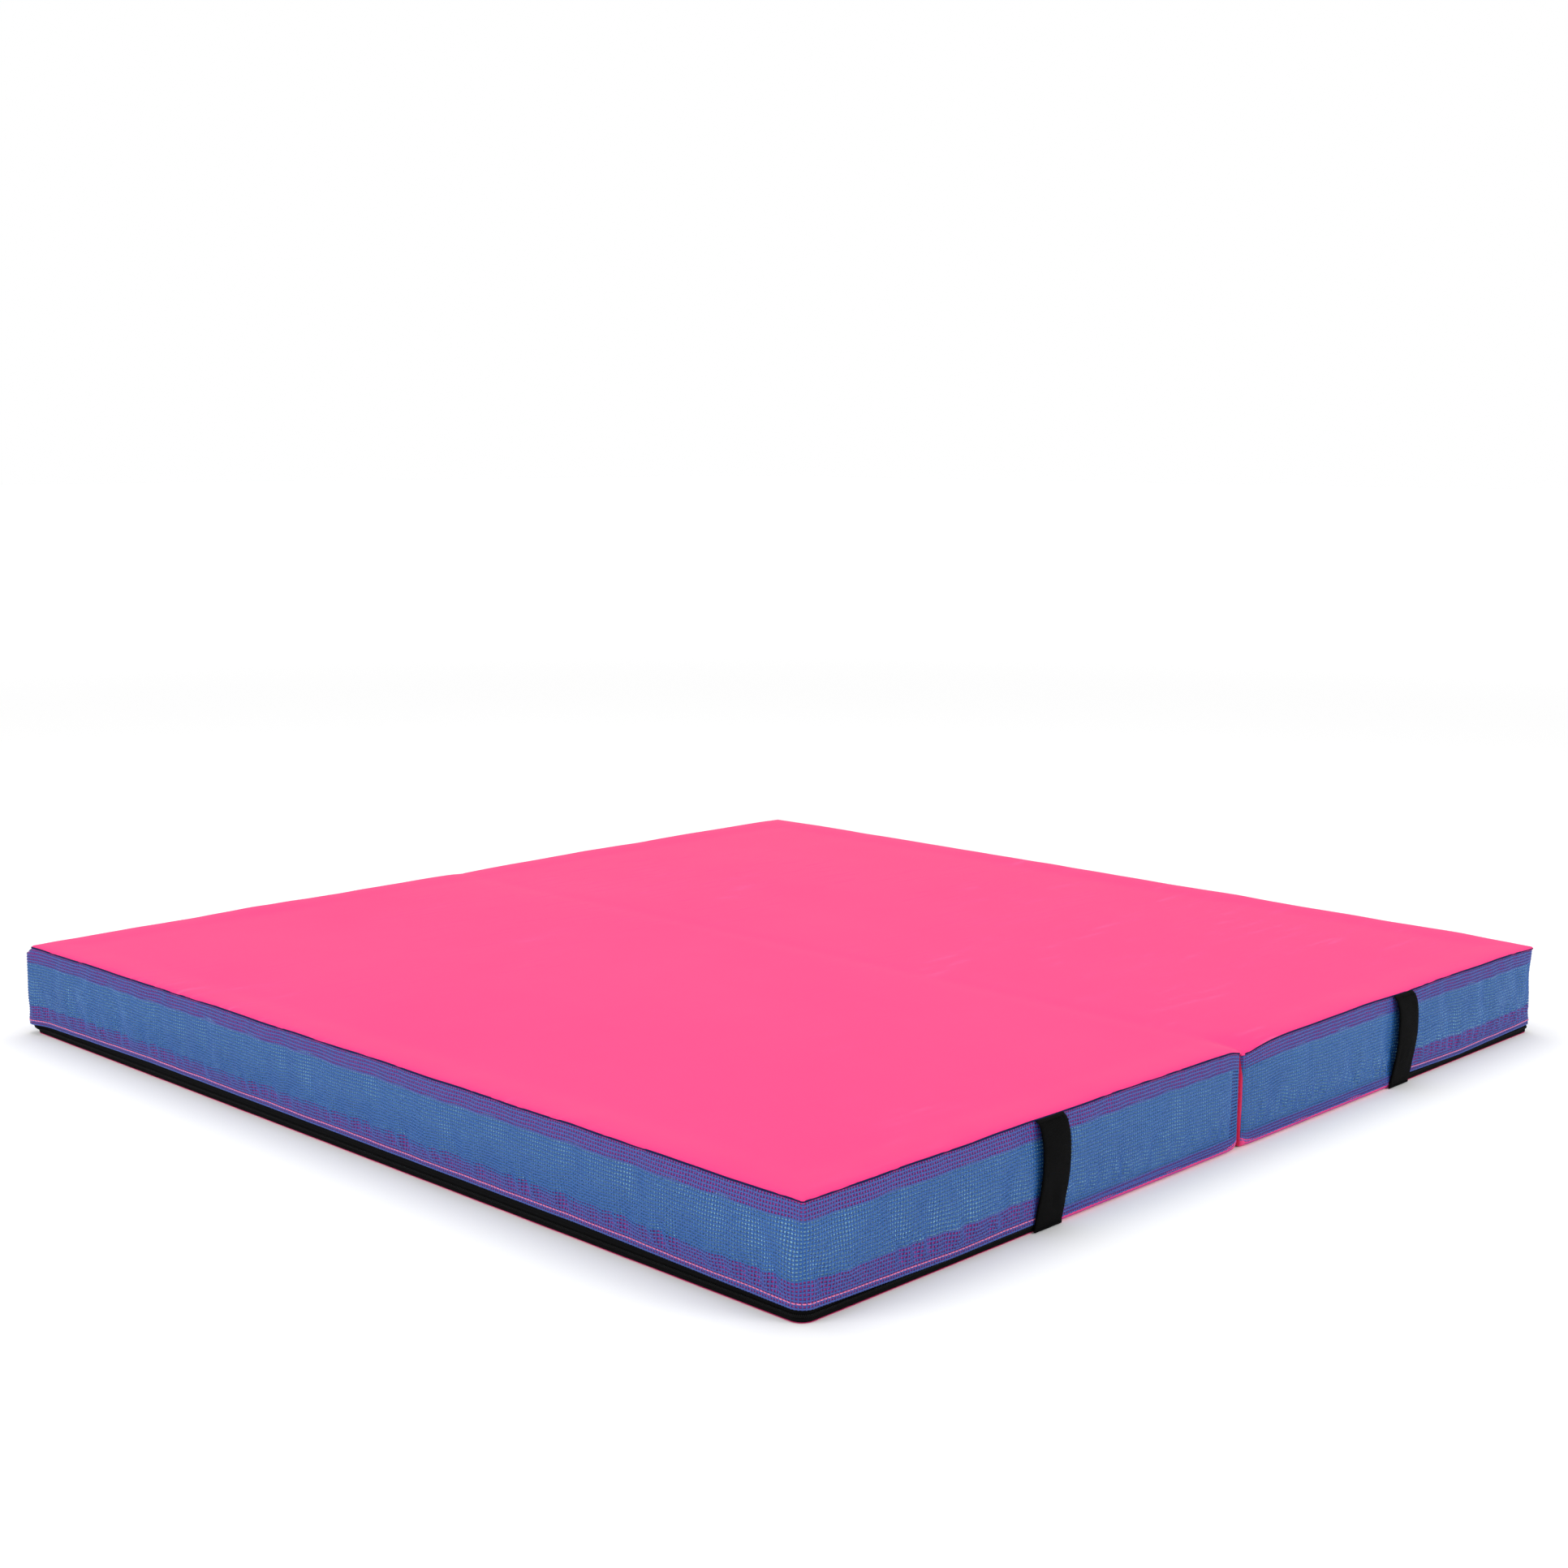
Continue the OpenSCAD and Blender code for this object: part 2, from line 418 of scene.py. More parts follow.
class Effects:
    """The shader node groups that several finishes share."""

    def __init__(self) -> None:
        """Builds the groups once."""
        self.mottle = self._mottle()
        self.grain = self._grain()
        self.weave = self._weave()
        self.scuffs = self._scuffs()

    @staticmethod
    def _mottle() -> bpy.types.NodeTree:
        """Slow variation over a surface, from 0 to 1.

        Returns:
            The node group.
        """
        group, g = node_group("mottle", {"Repeats": 8.0, "Contrast": 1.0}, ["Value"])
        given = g.node("NodeGroupInput")
        place = g.node("ShaderNodeTexCoord").outputs["Object"]
        broad = g.noise(place, given.outputs["Repeats"], 4.0)
        spread = g.times(g.maths("SUBTRACT", broad, 0.5), given.outputs["Contrast"])
        value = g.span(g.plus(spread, 0.5), 0.0, 1.0, 0.0, 1.0)
        g.feed(g.node("NodeGroupOutput").inputs["Value"], value)
        return group

    @staticmethod
    def _grain() -> bpy.types.NodeTree:
        """Pebbled grain of a coated sheet, as a height and as the depth of its creases.

        Returns:
            The node group.
        """
        group, g = node_group("coated_grain", {"Pebbles": 900.0, "Softness": 0.5}, ["Height", "Creases"])
        given = g.node("NodeGroupInput")
        place = g.node("ShaderNodeTexCoord").outputs["Object"]
        cells = g.node("ShaderNodeTexVoronoi", feature="SMOOTH_F1")
        g.feed(cells.inputs["Vector"], place)
        g.feed(cells.inputs["Scale"], given.outputs["Pebbles"])
        g.feed(cells.inputs["Smoothness"], given.outputs["Softness"])
        fine = g.noise(place, g.times(given.outputs["Pebbles"], 0.4), 2.0)
        domed = g.maths("SUBTRACT", 1.0, cells.outputs["Distance"])
        result = g.node("NodeGroupOutput")
        height = g.plus(g.times(domed, 0.6), g.times(fine, 0.4))
        g.feed(result.inputs["Height"], height)
        g.feed(result.inputs["Creases"], g.span(cells.outputs["Distance"], 0.45, 0.8, 0.0, 1.0))
        return group

    @staticmethod
    def _weave() -> bpy.types.NodeTree:
        """Over-and-under weave on cloth coordinates: a height, and the shadow between the yarns.

        Returns:
            The node group.
        """
        inputs = {"Across": 0.0012, "Along": 0.0008, "Twill": 0.0}
        group, g = node_group("weave", inputs, ["Height", "Shadow"])
        given = g.node("NodeGroupInput")
        split = g.node("ShaderNodeSeparateXYZ")
        g.feed(split.inputs[0], g.node("ShaderNodeTexCoord").outputs["UV"])
        across = g.maths("DIVIDE", split.outputs["X"], given.outputs["Across"])
        along = g.maths("DIVIDE", split.outputs["Y"], given.outputs["Along"])
        leaning = g.plus(across, g.times(along, given.outputs["Twill"]))
        first = g.times(leaning, math.pi)
        second = g.times(along, math.pi)
        warp = g.maths("ABSOLUTE", g.maths("SINE", first))
        weft = g.maths("ABSOLUTE", g.maths("SINE", second))
        over = g.times(g.maths("SINE", first), g.maths("SINE", second))
        height = g.plus(g.times(warp, weft), g.times(over, 0.35))
        result = g.node("NodeGroupOutput")
        g.feed(result.inputs["Height"], height)
        g.feed(result.inputs["Shadow"], g.span(g.times(warp, weft), 0.0, 0.5, 1.0, 0.0))
        return group

    @staticmethod
    def _scuffs() -> bpy.types.NodeTree:
        """Faint rubbed marks in long thin patches, from 0 to 1.

        Returns:
            The node group.
        """
        group, g = node_group("scuffs", {"Repeats": 14.0, "Amount": 0.5}, ["Mask"])
        given = g.node("NodeGroupInput")
        place = g.node("ShaderNodeTexCoord").outputs["Object"]
        stretch = g.node("ShaderNodeMapping")
        g.feed(stretch.inputs["Vector"], place)
        stretch.inputs["Rotation"].default_value = (0.0, 0.0, 0.7)
        stretch.inputs["Scale"].default_value = (1.0, 7.0, 1.0)
        marks = g.noise(stretch.outputs[0], given.outputs["Repeats"], 6.0)
        patches = g.noise(place, 3.0, 2.0)
        thin, wide = g.span(marks, 0.56, 0.72, 0.0, 1.0), g.span(patches, 0.45, 0.65, 0.0, 1.0)
        mask = g.times(g.times(thin, wide), given.outputs["Amount"])
        g.feed(g.node("NodeGroupOutput").inputs["Mask"], mask)
        return group


@dataclass(frozen=True)
class Finish:
    """A material: what all finishes share.

    Attributes:
        name: The material's name.
        colour: Main colour, linear.
        roughness: Roughness of the clean surface.
        specular: Specular level.
    """

    name: str
    colour: Colour
    roughness: float = 0.5
    specular: float = 0.5

    def begin(self) -> tuple[bpy.types.Material, Graph, bpy.types.Node]:
        """Starts the material.

        Returns:
            The material, a graph for its tree and its shader.
        """
        material = bpy.data.materials.new(self.name)
        material.use_nodes = True
        shader = material.node_tree.nodes["Principled BSDF"]
        shader.inputs["Base Color"].default_value = (*self.colour, 1.0)
        shader.inputs["Roughness"].default_value = self.roughness
        shader.inputs["Specular IOR Level"].default_value = self.specular
        material.diffuse_color = (*self.colour, 1.0)
        return material, Graph(material.node_tree), shader

    @staticmethod
    def group(g: Graph, tree: bpy.types.NodeTree, **values: float) -> bpy.types.Node:
        """Places a shared effect with its own values.

        Args:
            g: The material's graph.
            tree: The effect's node group.
            values: Values of the group's inputs by name.

        Returns:
            The group's node.
        """
        new = g.node("ShaderNodeGroup", node_tree=tree)
        for name, value in values.items():
            new.inputs[name].default_value = value
        return new

    @staticmethod
    def bump(
        g: Graph, shader: bpy.types.Node, height: bpy.types.NodeSocket, depth: float, strength: float
    ) -> None:
        """Feeds a height to the shader's normal.

        Args:
            g: The material's graph.
            shader: The shader.
            height: Output with the height, about 0 to 1.
            depth: Depth of the relief in metres.
            strength: Share of the relief that shows.
        """
        bump = g.node("ShaderNodeBump")
        bump.inputs["Distance"].default_value = depth
        bump.inputs["Strength"].default_value = strength
        g.feed(bump.inputs["Height"], height)
        g.feed(shader.inputs["Normal"], bump.outputs[0])


@dataclass(frozen=True)
class CoatedSheet(Finish):
    """Coated sheet with a fine pebbled grain.

    Attributes:
        deep: Colour of the darker patches, and of the painted shade in the grain's creases.
        rubbed: Colour of the rubbed marks.
        pebbles: Number of pebbles in a metre.
        relief: Depth of the grain in metres.
    """

    specular: float = 0.2
    deep: Colour = (0.6, 0.03, 0.15)
    rubbed: Colour = (1.0, 0.25, 0.45)
    pebbles: float = 900.0
    relief: float = 0.00012

    def make(self, effects: Effects) -> bpy.types.Material:
        """Builds the material.

        Args:
            effects: The shared effects.

        Returns:
            The material.
        """
        material, g, shader = self.begin()
        mottle = self.group(g, effects.mottle, Repeats=5.0, Contrast=0.9).outputs[0]
        grain = self.group(g, effects.grain, Pebbles=self.pebbles)
        scuffs = self.group(g, effects.scuffs, Repeats=16.0, Amount=0.22).outputs[0]
        base = g.blend(g.times(mottle, 0.10), self.colour, self.deep)
        # Painted shade: the grain's creases are darkened towards the deep colour.
        base = g.blend(g.times(grain.outputs["Creases"], 0.22), base, self.deep)
        base = g.blend(scuffs, base, self.rubbed)
        g.feed(shader.inputs["Base Color"], base)
        rough = g.span(mottle, 0.0, 1.0, self.roughness - 0.04, self.roughness + 0.05)
        g.feed(shader.inputs["Roughness"], g.plus(rough, scuffs))
        self.bump(g, shader, grain.outputs["Height"], self.relief, 0.35)
        return material


@dataclass(frozen=True)
class Yarn(Finish):
    """Coated yarn of the side mesh, smooth and a little shiny.

    Attributes:
        shade: Painted shade at the yarn's edges; it also colours the yarn's darker flecks.
        light: Colour of its paler patches.
        backed: Painted pink cast and shade on the yarn where a facing lies behind the mesh.
        low_band: Height up to which the lower facing lies behind it.
        high_band: Height from which the upper facing does.
    """

    specular: float = 0.45
    shade: Colour = (0.01, 0.05, 0.2)
    light: Colour = (0.1, 0.3, 0.6)
    backed: Colour = (0.072, 0.085, 0.42)
    low_band: float = 0.0
    high_band: float = 1.0

    def make(self, effects: Effects) -> bpy.types.Material:
        """Builds the material.

        Args:
            effects: The shared effects.

        Returns:
            The material.
        """
        material, g, shader = self.begin()
        broad = self.group(g, effects.mottle, Repeats=9.0, Contrast=1.3).outputs[0]
        fine = self.group(g, effects.mottle, Repeats=420.0, Contrast=1.6).outputs[0]
        split = g.node("ShaderNodeSeparateXYZ")
        g.feed(split.inputs[0], g.node("ShaderNodeTexCoord").outputs["UV"])
        edge = g.span(g.maths("ABSOLUTE", split.outputs["Y"]), 0.0, 0.00078, 0.0, 1.0)
        height = g.node("ShaderNodeSeparateXYZ")
        g.feed(height.inputs[0], g.node("ShaderNodeTexCoord").outputs["Object"])
        low, high = self.low_band, self.high_band
        below = g.span(height.outputs["Z"], low - 1 * MM, low + 1 * MM, 1.0, 0.0)
        above = g.span(height.outputs["Z"], high - 1 * MM, high + 1 * MM, 0.0, 1.0)
        base = g.blend(g.times(broad, 0.3), self.colour, self.light)
        # Painted light: the yarn is tinted purple where a facing lies behind it, standing for the pink
        # showing through and for the shade in those bands.
        base = g.blend(g.times(g.plus(below, above), 0.75), base, self.backed)
        # Painted shade: the yarn darkens towards its edges, as if its rounded sides were in shadow.
        base = g.blend(g.times(g.maths("POWER", edge, 1.6), 0.85), base, self.shade)
        base = g.blend(g.times(fine, 0.3), base, self.shade)
        g.feed(shader.inputs["Base Color"], base)
        rough = g.span(fine, 0.0, 1.0, self.roughness - 0.08, self.roughness + 0.12)
        g.feed(shader.inputs["Roughness"], rough)
        self.bump(g, shader, fine, 0.00008, 0.5)
        return material


@dataclass(frozen=True)
class Foam(Finish):
    """Closed-cell foam with small cut cells."""

    specular: float = 0.15
    pits: Colour = (0.55, 0.55, 0.53)

    def make(self, effects: Effects) -> bpy.types.Material:
        """Builds the material.

        Args:
            effects: The shared effects.

        Returns:
            The material.
        """
        material, g, shader = self.begin()
        grain = self.group(g, effects.grain, Pebbles=420.0, Softness=0.2)
        # Painted shade: the cut cells are darkened towards the pit colour.
        g.feed(shader.inputs["Base Color"], g.blend(grain.outputs["Creases"], self.colour, self.pits))
        self.bump(g, shader, grain.outputs["Height"], 0.0003, 0.6)
        return material


@dataclass(frozen=True)
class WovenBand(Finish):
    """Flat woven band: webbing or zip tape.

    Attributes:
        gap: Colour of the painted shadow between the yarns.
        fuzz: Colour of the worn, fluffy patches.
        across: Width of one yarn across the band.
        along: Width of one yarn along it.
        twill: How far each yarn is stepped against the one before.
        relief: Depth of the weave in metres.
    """

    specular: float = 0.04
    gap: Colour = (0.002, 0.002, 0.002)
    fuzz: Colour = (0.03, 0.03, 0.03)
    across: float = 0.0013
    along: float = 0.0008
    twill: float = 0.0
    relief: float = 0.0003

    def make(self, effects: Effects) -> bpy.types.Material:
        """Builds the material.

        Args:
            effects: The shared effects.

        Returns:
            The material.
        """
        material, g, shader = self.begin()
        weave = self.group(g, effects.weave, Across=self.across, Along=self.along, Twill=self.twill)
        worn = self.group(g, effects.mottle, Repeats=60.0, Contrast=1.4).outputs[0]
        base = g.blend(g.times(worn, 0.35), self.colour, self.fuzz)
        base = g.blend(g.times(weave.outputs["Shadow"], 0.8), base, self.gap)
        g.feed(shader.inputs["Base Color"], base)
        rough = g.span(worn, 0.0, 1.0, self.roughness - 0.06, self.roughness + 0.08)
        g.feed(shader.inputs["Roughness"], rough)
        shader.inputs["Sheen Weight"].default_value = 0.005
        shader.inputs["Sheen Roughness"].default_value = 0.4
        self.bump(g, shader, weave.outputs["Height"], self.relief, 0.9)
        return material


@dataclass(frozen=True)
class Thread(Finish):
    """Twisted sewing thread."""

    specular: float = 0.4
    deep: Colour = (0.5, 0.05, 0.2)

    def make(self, effects: Effects) -> bpy.types.Material:
        """Builds the material.

        Args:
            effects: The shared effects.

        Returns:
            The material.
        """
        material, g, shader = self.begin()
        twist = self.group(g, effects.mottle, Repeats=900.0, Contrast=2.0).outputs[0]
        base = g.blend(g.times(twist, 0.45), self.colour, self.deep)
        g.feed(shader.inputs["Base Color"], base)
        g.feed(shader.inputs["Roughness"], g.span(twist, 0.0, 1.0, self.roughness, self.roughness + 0.15))
        self.bump(g, shader, twist, 0.0001, 0.6)
        return material


@dataclass(frozen=True)
class Nylon(Finish):
    """Drawn nylon of the zip's coils."""

    specular: float = 0.1
    cloud: Colour = (0.008, 0.008, 0.0085)

    def make(self, effects: Effects) -> bpy.types.Material:
        """Builds the material.

        Args:
            effects: The shared effects.

        Returns:
            The material.
        """
        material, g, shader = self.begin()
        cloudy = self.group(g, effects.mottle, Repeats=300.0, Contrast=1.2).outputs[0]
        base = g.blend(g.times(cloudy, 0.5), self.colour, self.cloud)
        g.feed(shader.inputs["Base Color"], base)
        rough = g.span(cloudy, 0.0, 1.0, self.roughness - 0.05, self.roughness + 0.1)
        g.feed(shader.inputs["Roughness"], rough)
        return material


@dataclass(frozen=True)
class PaintedMetal(Finish):
    """Black painted casting, rubbed to bare metal in spots."""

    bare: Colour = (0.35, 0.35, 0.36)

    def make(self, effects: Effects) -> bpy.types.Material:
        """Builds the material.

        Args:
            effects: The shared effects.

        Returns:
            The material.
        """
        material, g, shader = self.begin()
        scuffs = self.group(g, effects.scuffs, Repeats=120.0, Amount=0.5).outputs[0]
        orange_peel = self.group(g, effects.mottle, Repeats=700.0, Contrast=1.0).outputs[0]
        g.feed(shader.inputs["Base Color"], g.blend(scuffs, self.colour, self.bare))
        g.feed(shader.inputs["Metallic"], scuffs)
        rough = g.span(orange_peel, 0.0, 1.0, self.roughness - 0.06, self.roughness + 0.1)
        g.feed(shader.inputs["Roughness"], rough)
        shader.inputs["Coat Weight"].default_value = 0.3
        shader.inputs["Coat Roughness"].default_value = 0.25
        self.bump(g, shader, orange_peel, 0.00005, 0.5)
        return material


class Finishes:
    """Every finish of the mat, made once."""

    def __init__(self) -> None:
        """Builds the effects and the materials."""
        effects = Effects()
        self.top_sheet = CoatedSheet("top_coated_sheet", (0.9, 0.03, 0.198), 0.46).make(effects)
        self.bottom_sheet = CoatedSheet(
            "bottom_coated_sheet", (0.86, 0.06, 0.24), 0.5, deep=(0.5, 0.02, 0.12), pebbles=700.0
        ).make(effects)
        # The fold wall is the same pink sheet as the top; its darker red is painted shade of the gap
        # between the halves.
        self.fold_sheet = CoatedSheet(
            "fold_coated_sheet", (0.72, 0.022, 0.1), 0.5, deep=(0.42, 0.008, 0.05)
        ).make(effects)
        # The facings are the pink sheet; this darker, purpler colour is painted shade and blue cast behind
        # the mesh.
        self.facing = CoatedSheet(
            "facing_sheet", (0.43, 0.035, 0.3), 0.5, deep=(0.26, 0.02, 0.16)
        ).make(effects)
        yarn = Yarn(
            "plain_mesh_yarn", (0.006, 0.108, 0.4), 0.42, shade=(0.001, 0.018, 0.13),
            light=(0.03, 0.23, 0.62), low_band=14 * MM, high_band=82 * MM,
        )
        self.plain_yarn = yarn.make(effects)
        self.zipped_yarn = replace(yarn, name="zipped_mesh_yarn", low_band=33 * MM).make(effects)
        # The rolled edge is the blue yarn; this near-black navy is painted shade under the top sheet's
        # edge.
        self.yarn_fold = Yarn(
            "mesh_fold", (0.004, 0.009, 0.06), 0.8, shade=(0.002, 0.003, 0.02),
            light=(0.01, 0.02, 0.1), specular=0.1,
        ).make(effects)
        # The foam is white; its light blue is painted blue light from the mesh in front of it, and its
        # darker pits are painted shade.
        self.foam = Foam("white_foam", (0.42, 0.78, 0.98), 0.8, pits=(0.28, 0.56, 0.8)).make(effects)
        self.webbing = WovenBand(
            "strap_webbing", (0.0012, 0.0012, 0.0012), 0.75, fuzz=(0.003, 0.003, 0.003)
        ).make(effects)
        self.tape = WovenBand(
            "zip_tape", (0.0035, 0.0035, 0.004), 0.8, fuzz=(0.01, 0.01, 0.01),
            across=0.0006, along=0.0009, twill=0.5, relief=0.00012,
        ).make(effects)
        self.topstitch = Thread("hem_thread", (0.95, 0.26, 0.44), 0.5).make(effects)
        self.tack = Thread(
            "tack_thread", (0.003, 0.003, 0.003), 0.7, deep=(0.001, 0.001, 0.001), specular=0.08
        ).make(effects)
        self.coil = Nylon("zip_nylon", (0.003, 0.003, 0.0032), 0.55).make(effects)
        self.slider = PaintedMetal("slider_paint", (0.012, 0.012, 0.013), 0.34).make(effects)


def dress(piece: bpy.types.Object, material: bpy.types.Material) -> None:
    """Gives a piece its material.

    Args:
        piece: The piece.
        material: Its material.
    """
    piece.data.materials.clear()
    piece.data.materials.append(material)


def mount(
    piece: bpy.types.Object,
    half: Half,
    material: bpy.types.Material,
    node: str | None = None,
    flat: tuple[float, float] | None = None,
) -> bpy.types.Object:
    """Dresses a piece of one half and sets it on the half's body.

    Args:
        piece: The piece.
        half: Its half.
        material: Its material.
        node: The CAD node that it stands for, without its half.
        flat: Width and length of its cloth, if it is a sheet stretched over the foam; not used.

    Returns:
        The piece.
    """
    dress(piece, material)
    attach(piece, half.body)
    if node is not None:
        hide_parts(half.node(node))
    if flat is not None:
        half.node("foam_block")
    return piece


# ------------------------------------------------------------
# The form of a half
# ------------------------------------------------------------


@dataclass(frozen=True, eq=False)
class Creases:
    """Folds that a wall's cloth has taken on, as heights on an even grid.

    Attributes:
        run: Length of the wall.
        heights: Heights at the grid's places, a row for each share of the wall's height.
    """

    run: float
    heights: Array

    def __call__(self, along: Array, share: Array) -> Array:
        """Height at each place.

        Args:
            along: Distances along the wall.
            share: Shares of its height.

        Returns:
            The heights.
        """
        rows, columns = self.heights.shape
        across = np.clip(along / self.run, 0, 1) * (columns - 1)
        up = np.clip(share, 0, 1) * (rows - 1)
        i = np.minimum(up.astype(int), rows - 2)
        j = np.minimum(across.astype(int), columns - 2)
        a, b = across - j, up - i
        a, b = a * a * (3 - 2 * a), b * b * (3 - 2 * b)
        low = self.heights[i, j] * (1 - a) + self.heights[i, j + 1] * a
        high = self.heights[i + 1, j] * (1 - a) + self.heights[i + 1, j + 1] * a
        return low * (1 - b) + high * b


@dataclass(frozen=True)
class HalfForm:
    """Outer surface of one half's side wall, round its three outer sides.

    A place on the wall is given by how far it is along the wall, from the fold at the near end round to
    the fold at the far end, and by its share of the wall's height.

    Attributes:
        half: Which half it is.
        fold_x: Distance of the wall's edge from the fold's middle.
        reach_x: Distance of the outer side from the fold's middle.
        reach_y: Distance of each end wall from the mat's middle.
        seam_z: Height of the top seam at the corners.
        near_radius: Radius of the near corner at the floor.
        far_radius: Radius of the far corner at the floor.
        high_radius: Radius of both corners at the top seam.
        near_power: How fast the near corner sharpens from the floor upwards.
        far_power: How fast the far corner does.
        far_corner_bulge: How far the cloth stands out at the far corner.
        bulge_reach: How far that reaches along the end wall and along the outer side.
        end_lift: Rise of the top seam in the middle of an end wall.
        side_lift: Rise of the top seam in the middle of the outer side.
        hem_levels: Shift of the hem beside the strap, before the corner and on the outer side.
        fold_dip: How far the top seam dips at the fold's near end.
        dip_reach: How far along the wall that dip reaches.
        far_dip: Share of the dip at the fold's far end.
        fold_radius: Radius of the wall's bend into the fold.
        wrap: How far the wall's cloth goes round that bend.
        lap: How far the fold's wall laps over the mesh.
        lap_out: How far the lap stands out from the mesh.
        foot_lift: Rise of the wall's foot at the fold.
        fullness: How far the cloth stands out halfway up.
        calm: Distance from the fold over which the cloth's unevenness sets in.
        fine_reach: Distance from a bend up to which the wall's places lie closest.
        fine_step: Distance between those places.
        creases: Folds from the cloth simulation, if it has been run.
    """

    half: Half
    fold_x: float
    reach_x: float
    reach_y: float
    seam_z: float
    near_radius: float = 11 * MM
    far_radius: float = 11 * MM
    high_radius: float = 2.5 * MM
    near_power: float = 0.8
    far_power: float = 7.0
    far_corner_bulge: float = 0.0
    bulge_reach: tuple[float, float] = (9 * MM, 20 * MM)
    end_lift: float = 1.2 * MM
    side_lift: float = 1.7 * MM
    hem_levels: tuple[float, float, float] = (0.0, 0.0, 0.0)
    fold_dip: float = 4.0 * MM
    dip_reach: float = 14 * MM
    far_dip: float = 0.15
    fold_radius: float = 5.0 * MM
    wrap: float = 2.4 * MM
    lap: float = 0.3 * MM
    lap_out: float = 0.8 * MM
    foot_lift: float = 4.5 * MM
    fullness: float = 2.6 * MM
    calm: float = 40 * MM
    fine_reach: float = 22 * MM
    fine_step: float = 0.8 * MM
    creases: Creases | None = None

    @property
    def end_run(self) -> float:
        """Length of one end wall, to its corner's middle."""
        return self.reach_x - self.fold_x

    @property
    def run(self) -> float:
        """Length of the whole wall."""
        return 2 * self.end_run + 2 * self.reach_y

    def from_fold(self, along: Array) -> Array:
        """Distance from the nearer of the wall's two ends."""
        return np.minimum(along, self.run - along)

    def radius(self, along: Array, share: Array) -> Array:
        """Radius of the nearer corner, which is rounder at the bottom.

        Args:
            along: Distances along the wall.
            share: Shares of its height.

        Returns:
            The radii.
        """
        far = along > self.run / 2
        low = np.where(far, self.far_radius, self.near_radius)
        power = np.where(far, self.far_power, self.near_power)
        return self.high_radius + (low - self.high_radius) * np.clip(1 - share, 0, 1) ** power

    def stations(self, start: float, stop: float, step: float) -> Array:
        """Places along the wall, closer together round the corners and by the fold.

        Args:
            start: The first place.
            stop: The last place.
            step: Distance between places on the straight stretches.

        Returns:
            The places.
        """
        places = [start]
        bends = np.array([0.0, self.end_run, self.run - self.end_run, self.run])
        while places[-1] < stop:
            gap = max(np.min(np.abs(bends - places[-1])) - self.fine_reach, 0.0)
            places.append(places[-1] + min(step, self.fine_step + 0.3 * gap))
        places = np.array(places)
        return start + (places - start) * (stop - start) / (places[-1] - start)

    def outline(self, along: Array, share: Array) -> tuple[Array, Array, Array, Array]:
        """The wall's plan before its cloth's unevenness.

        Args:
            along: Distances along the wall.
            share: Shares of its height.

        Returns:
            X and Y of the places, and X and Y of the outward normals, for a half on the +X side.
        """
        along, share = np.broadcast_arrays(np.asarray(along, float), np.asarray(share, float))
        near = self.from_fold(along)
        r = self.radius(along, share)
        saved = (1 - math.pi / 4) * r
        on_end = near < self.end_run
        end_way = near / self.end_run * (self.end_run - saved)
        end_straight = self.end_run - r
        side_way = (near - self.end_run) / self.reach_y * (self.reach_y - saved)
        arc = math.pi / 4 * r
        turn = np.where(
            on_end,
            np.clip(end_way - end_straight, 0, None) / r,
            math.pi / 4 + np.clip(side_way, 0, arc) / r,
        )
        x = np.where(
            on_end,
            self.fold_x + np.minimum(end_way, end_straight) + r * np.sin(turn),
            self.reach_x - r + r * np.sin(turn),
        )
        rise = np.where(on_end, 0.0, np.clip(side_way - arc, 0, None))
        y = -(self.reach_y - r) - r * np.cos(turn) + rise
        nx, ny = np.sin(turn), -np.cos(turn)
        fold = self.fold_radius
        bend = np.clip((fold - near) / fold, 0, math.pi / 2)
        inside = np.clip(fold - near - fold * math.pi / 2, 0, None)
        by_fold = near < fold
        x = np.where(by_fold, self.fold_x + fold * (1 - np.sin(bend)), x)
        y = np.where(by_fold, -(self.reach_y - fold) - fold * np.cos(bend) + inside, y)
        nx, ny = np.where(by_fold, -np.sin(bend), nx), np.where(by_fold, -np.cos(bend), ny)
        far = along > self.run / 2
        return x, np.where(far, -y, y), nx, np.where(far, -ny, ny)

    def seam(self, along: Array) -> Array:
        """Height of the top seam, which rises along each side and dips at the fold.

        Args:
            along: Distances along the wall.

        Returns:
            The heights.
        """
        near = self.from_fold(along)
        on_end = np.clip(near / self.end_run, 0, 1)
        on_side = np.clip((near - self.end_run) / self.reach_y, 0, 1)
        lift = self.end_lift * np.sin(math.pi * on_end) ** 0.7
        lift = lift + self.side_lift * np.sin(math.pi / 2 * on_side) ** 0.6 * (near > self.end_run)
        dip = self.fold_dip * np.exp(-((np.clip(near, 0, None) / self.dip_reach) ** 1.6))
        dip = np.where(along > self.run / 2, dip * self.far_dip, dip)
        seed = self.half.seed(11, 23)
        uneven = Ripple(seed, 190 * MM, 0.3 * MM)(along) + Ripple(seed + 1, 60 * MM, 0.07 * MM)(along)
        return self.seam_z + lift - dip + uneven * ease(near, 0.0, 60 * MM)

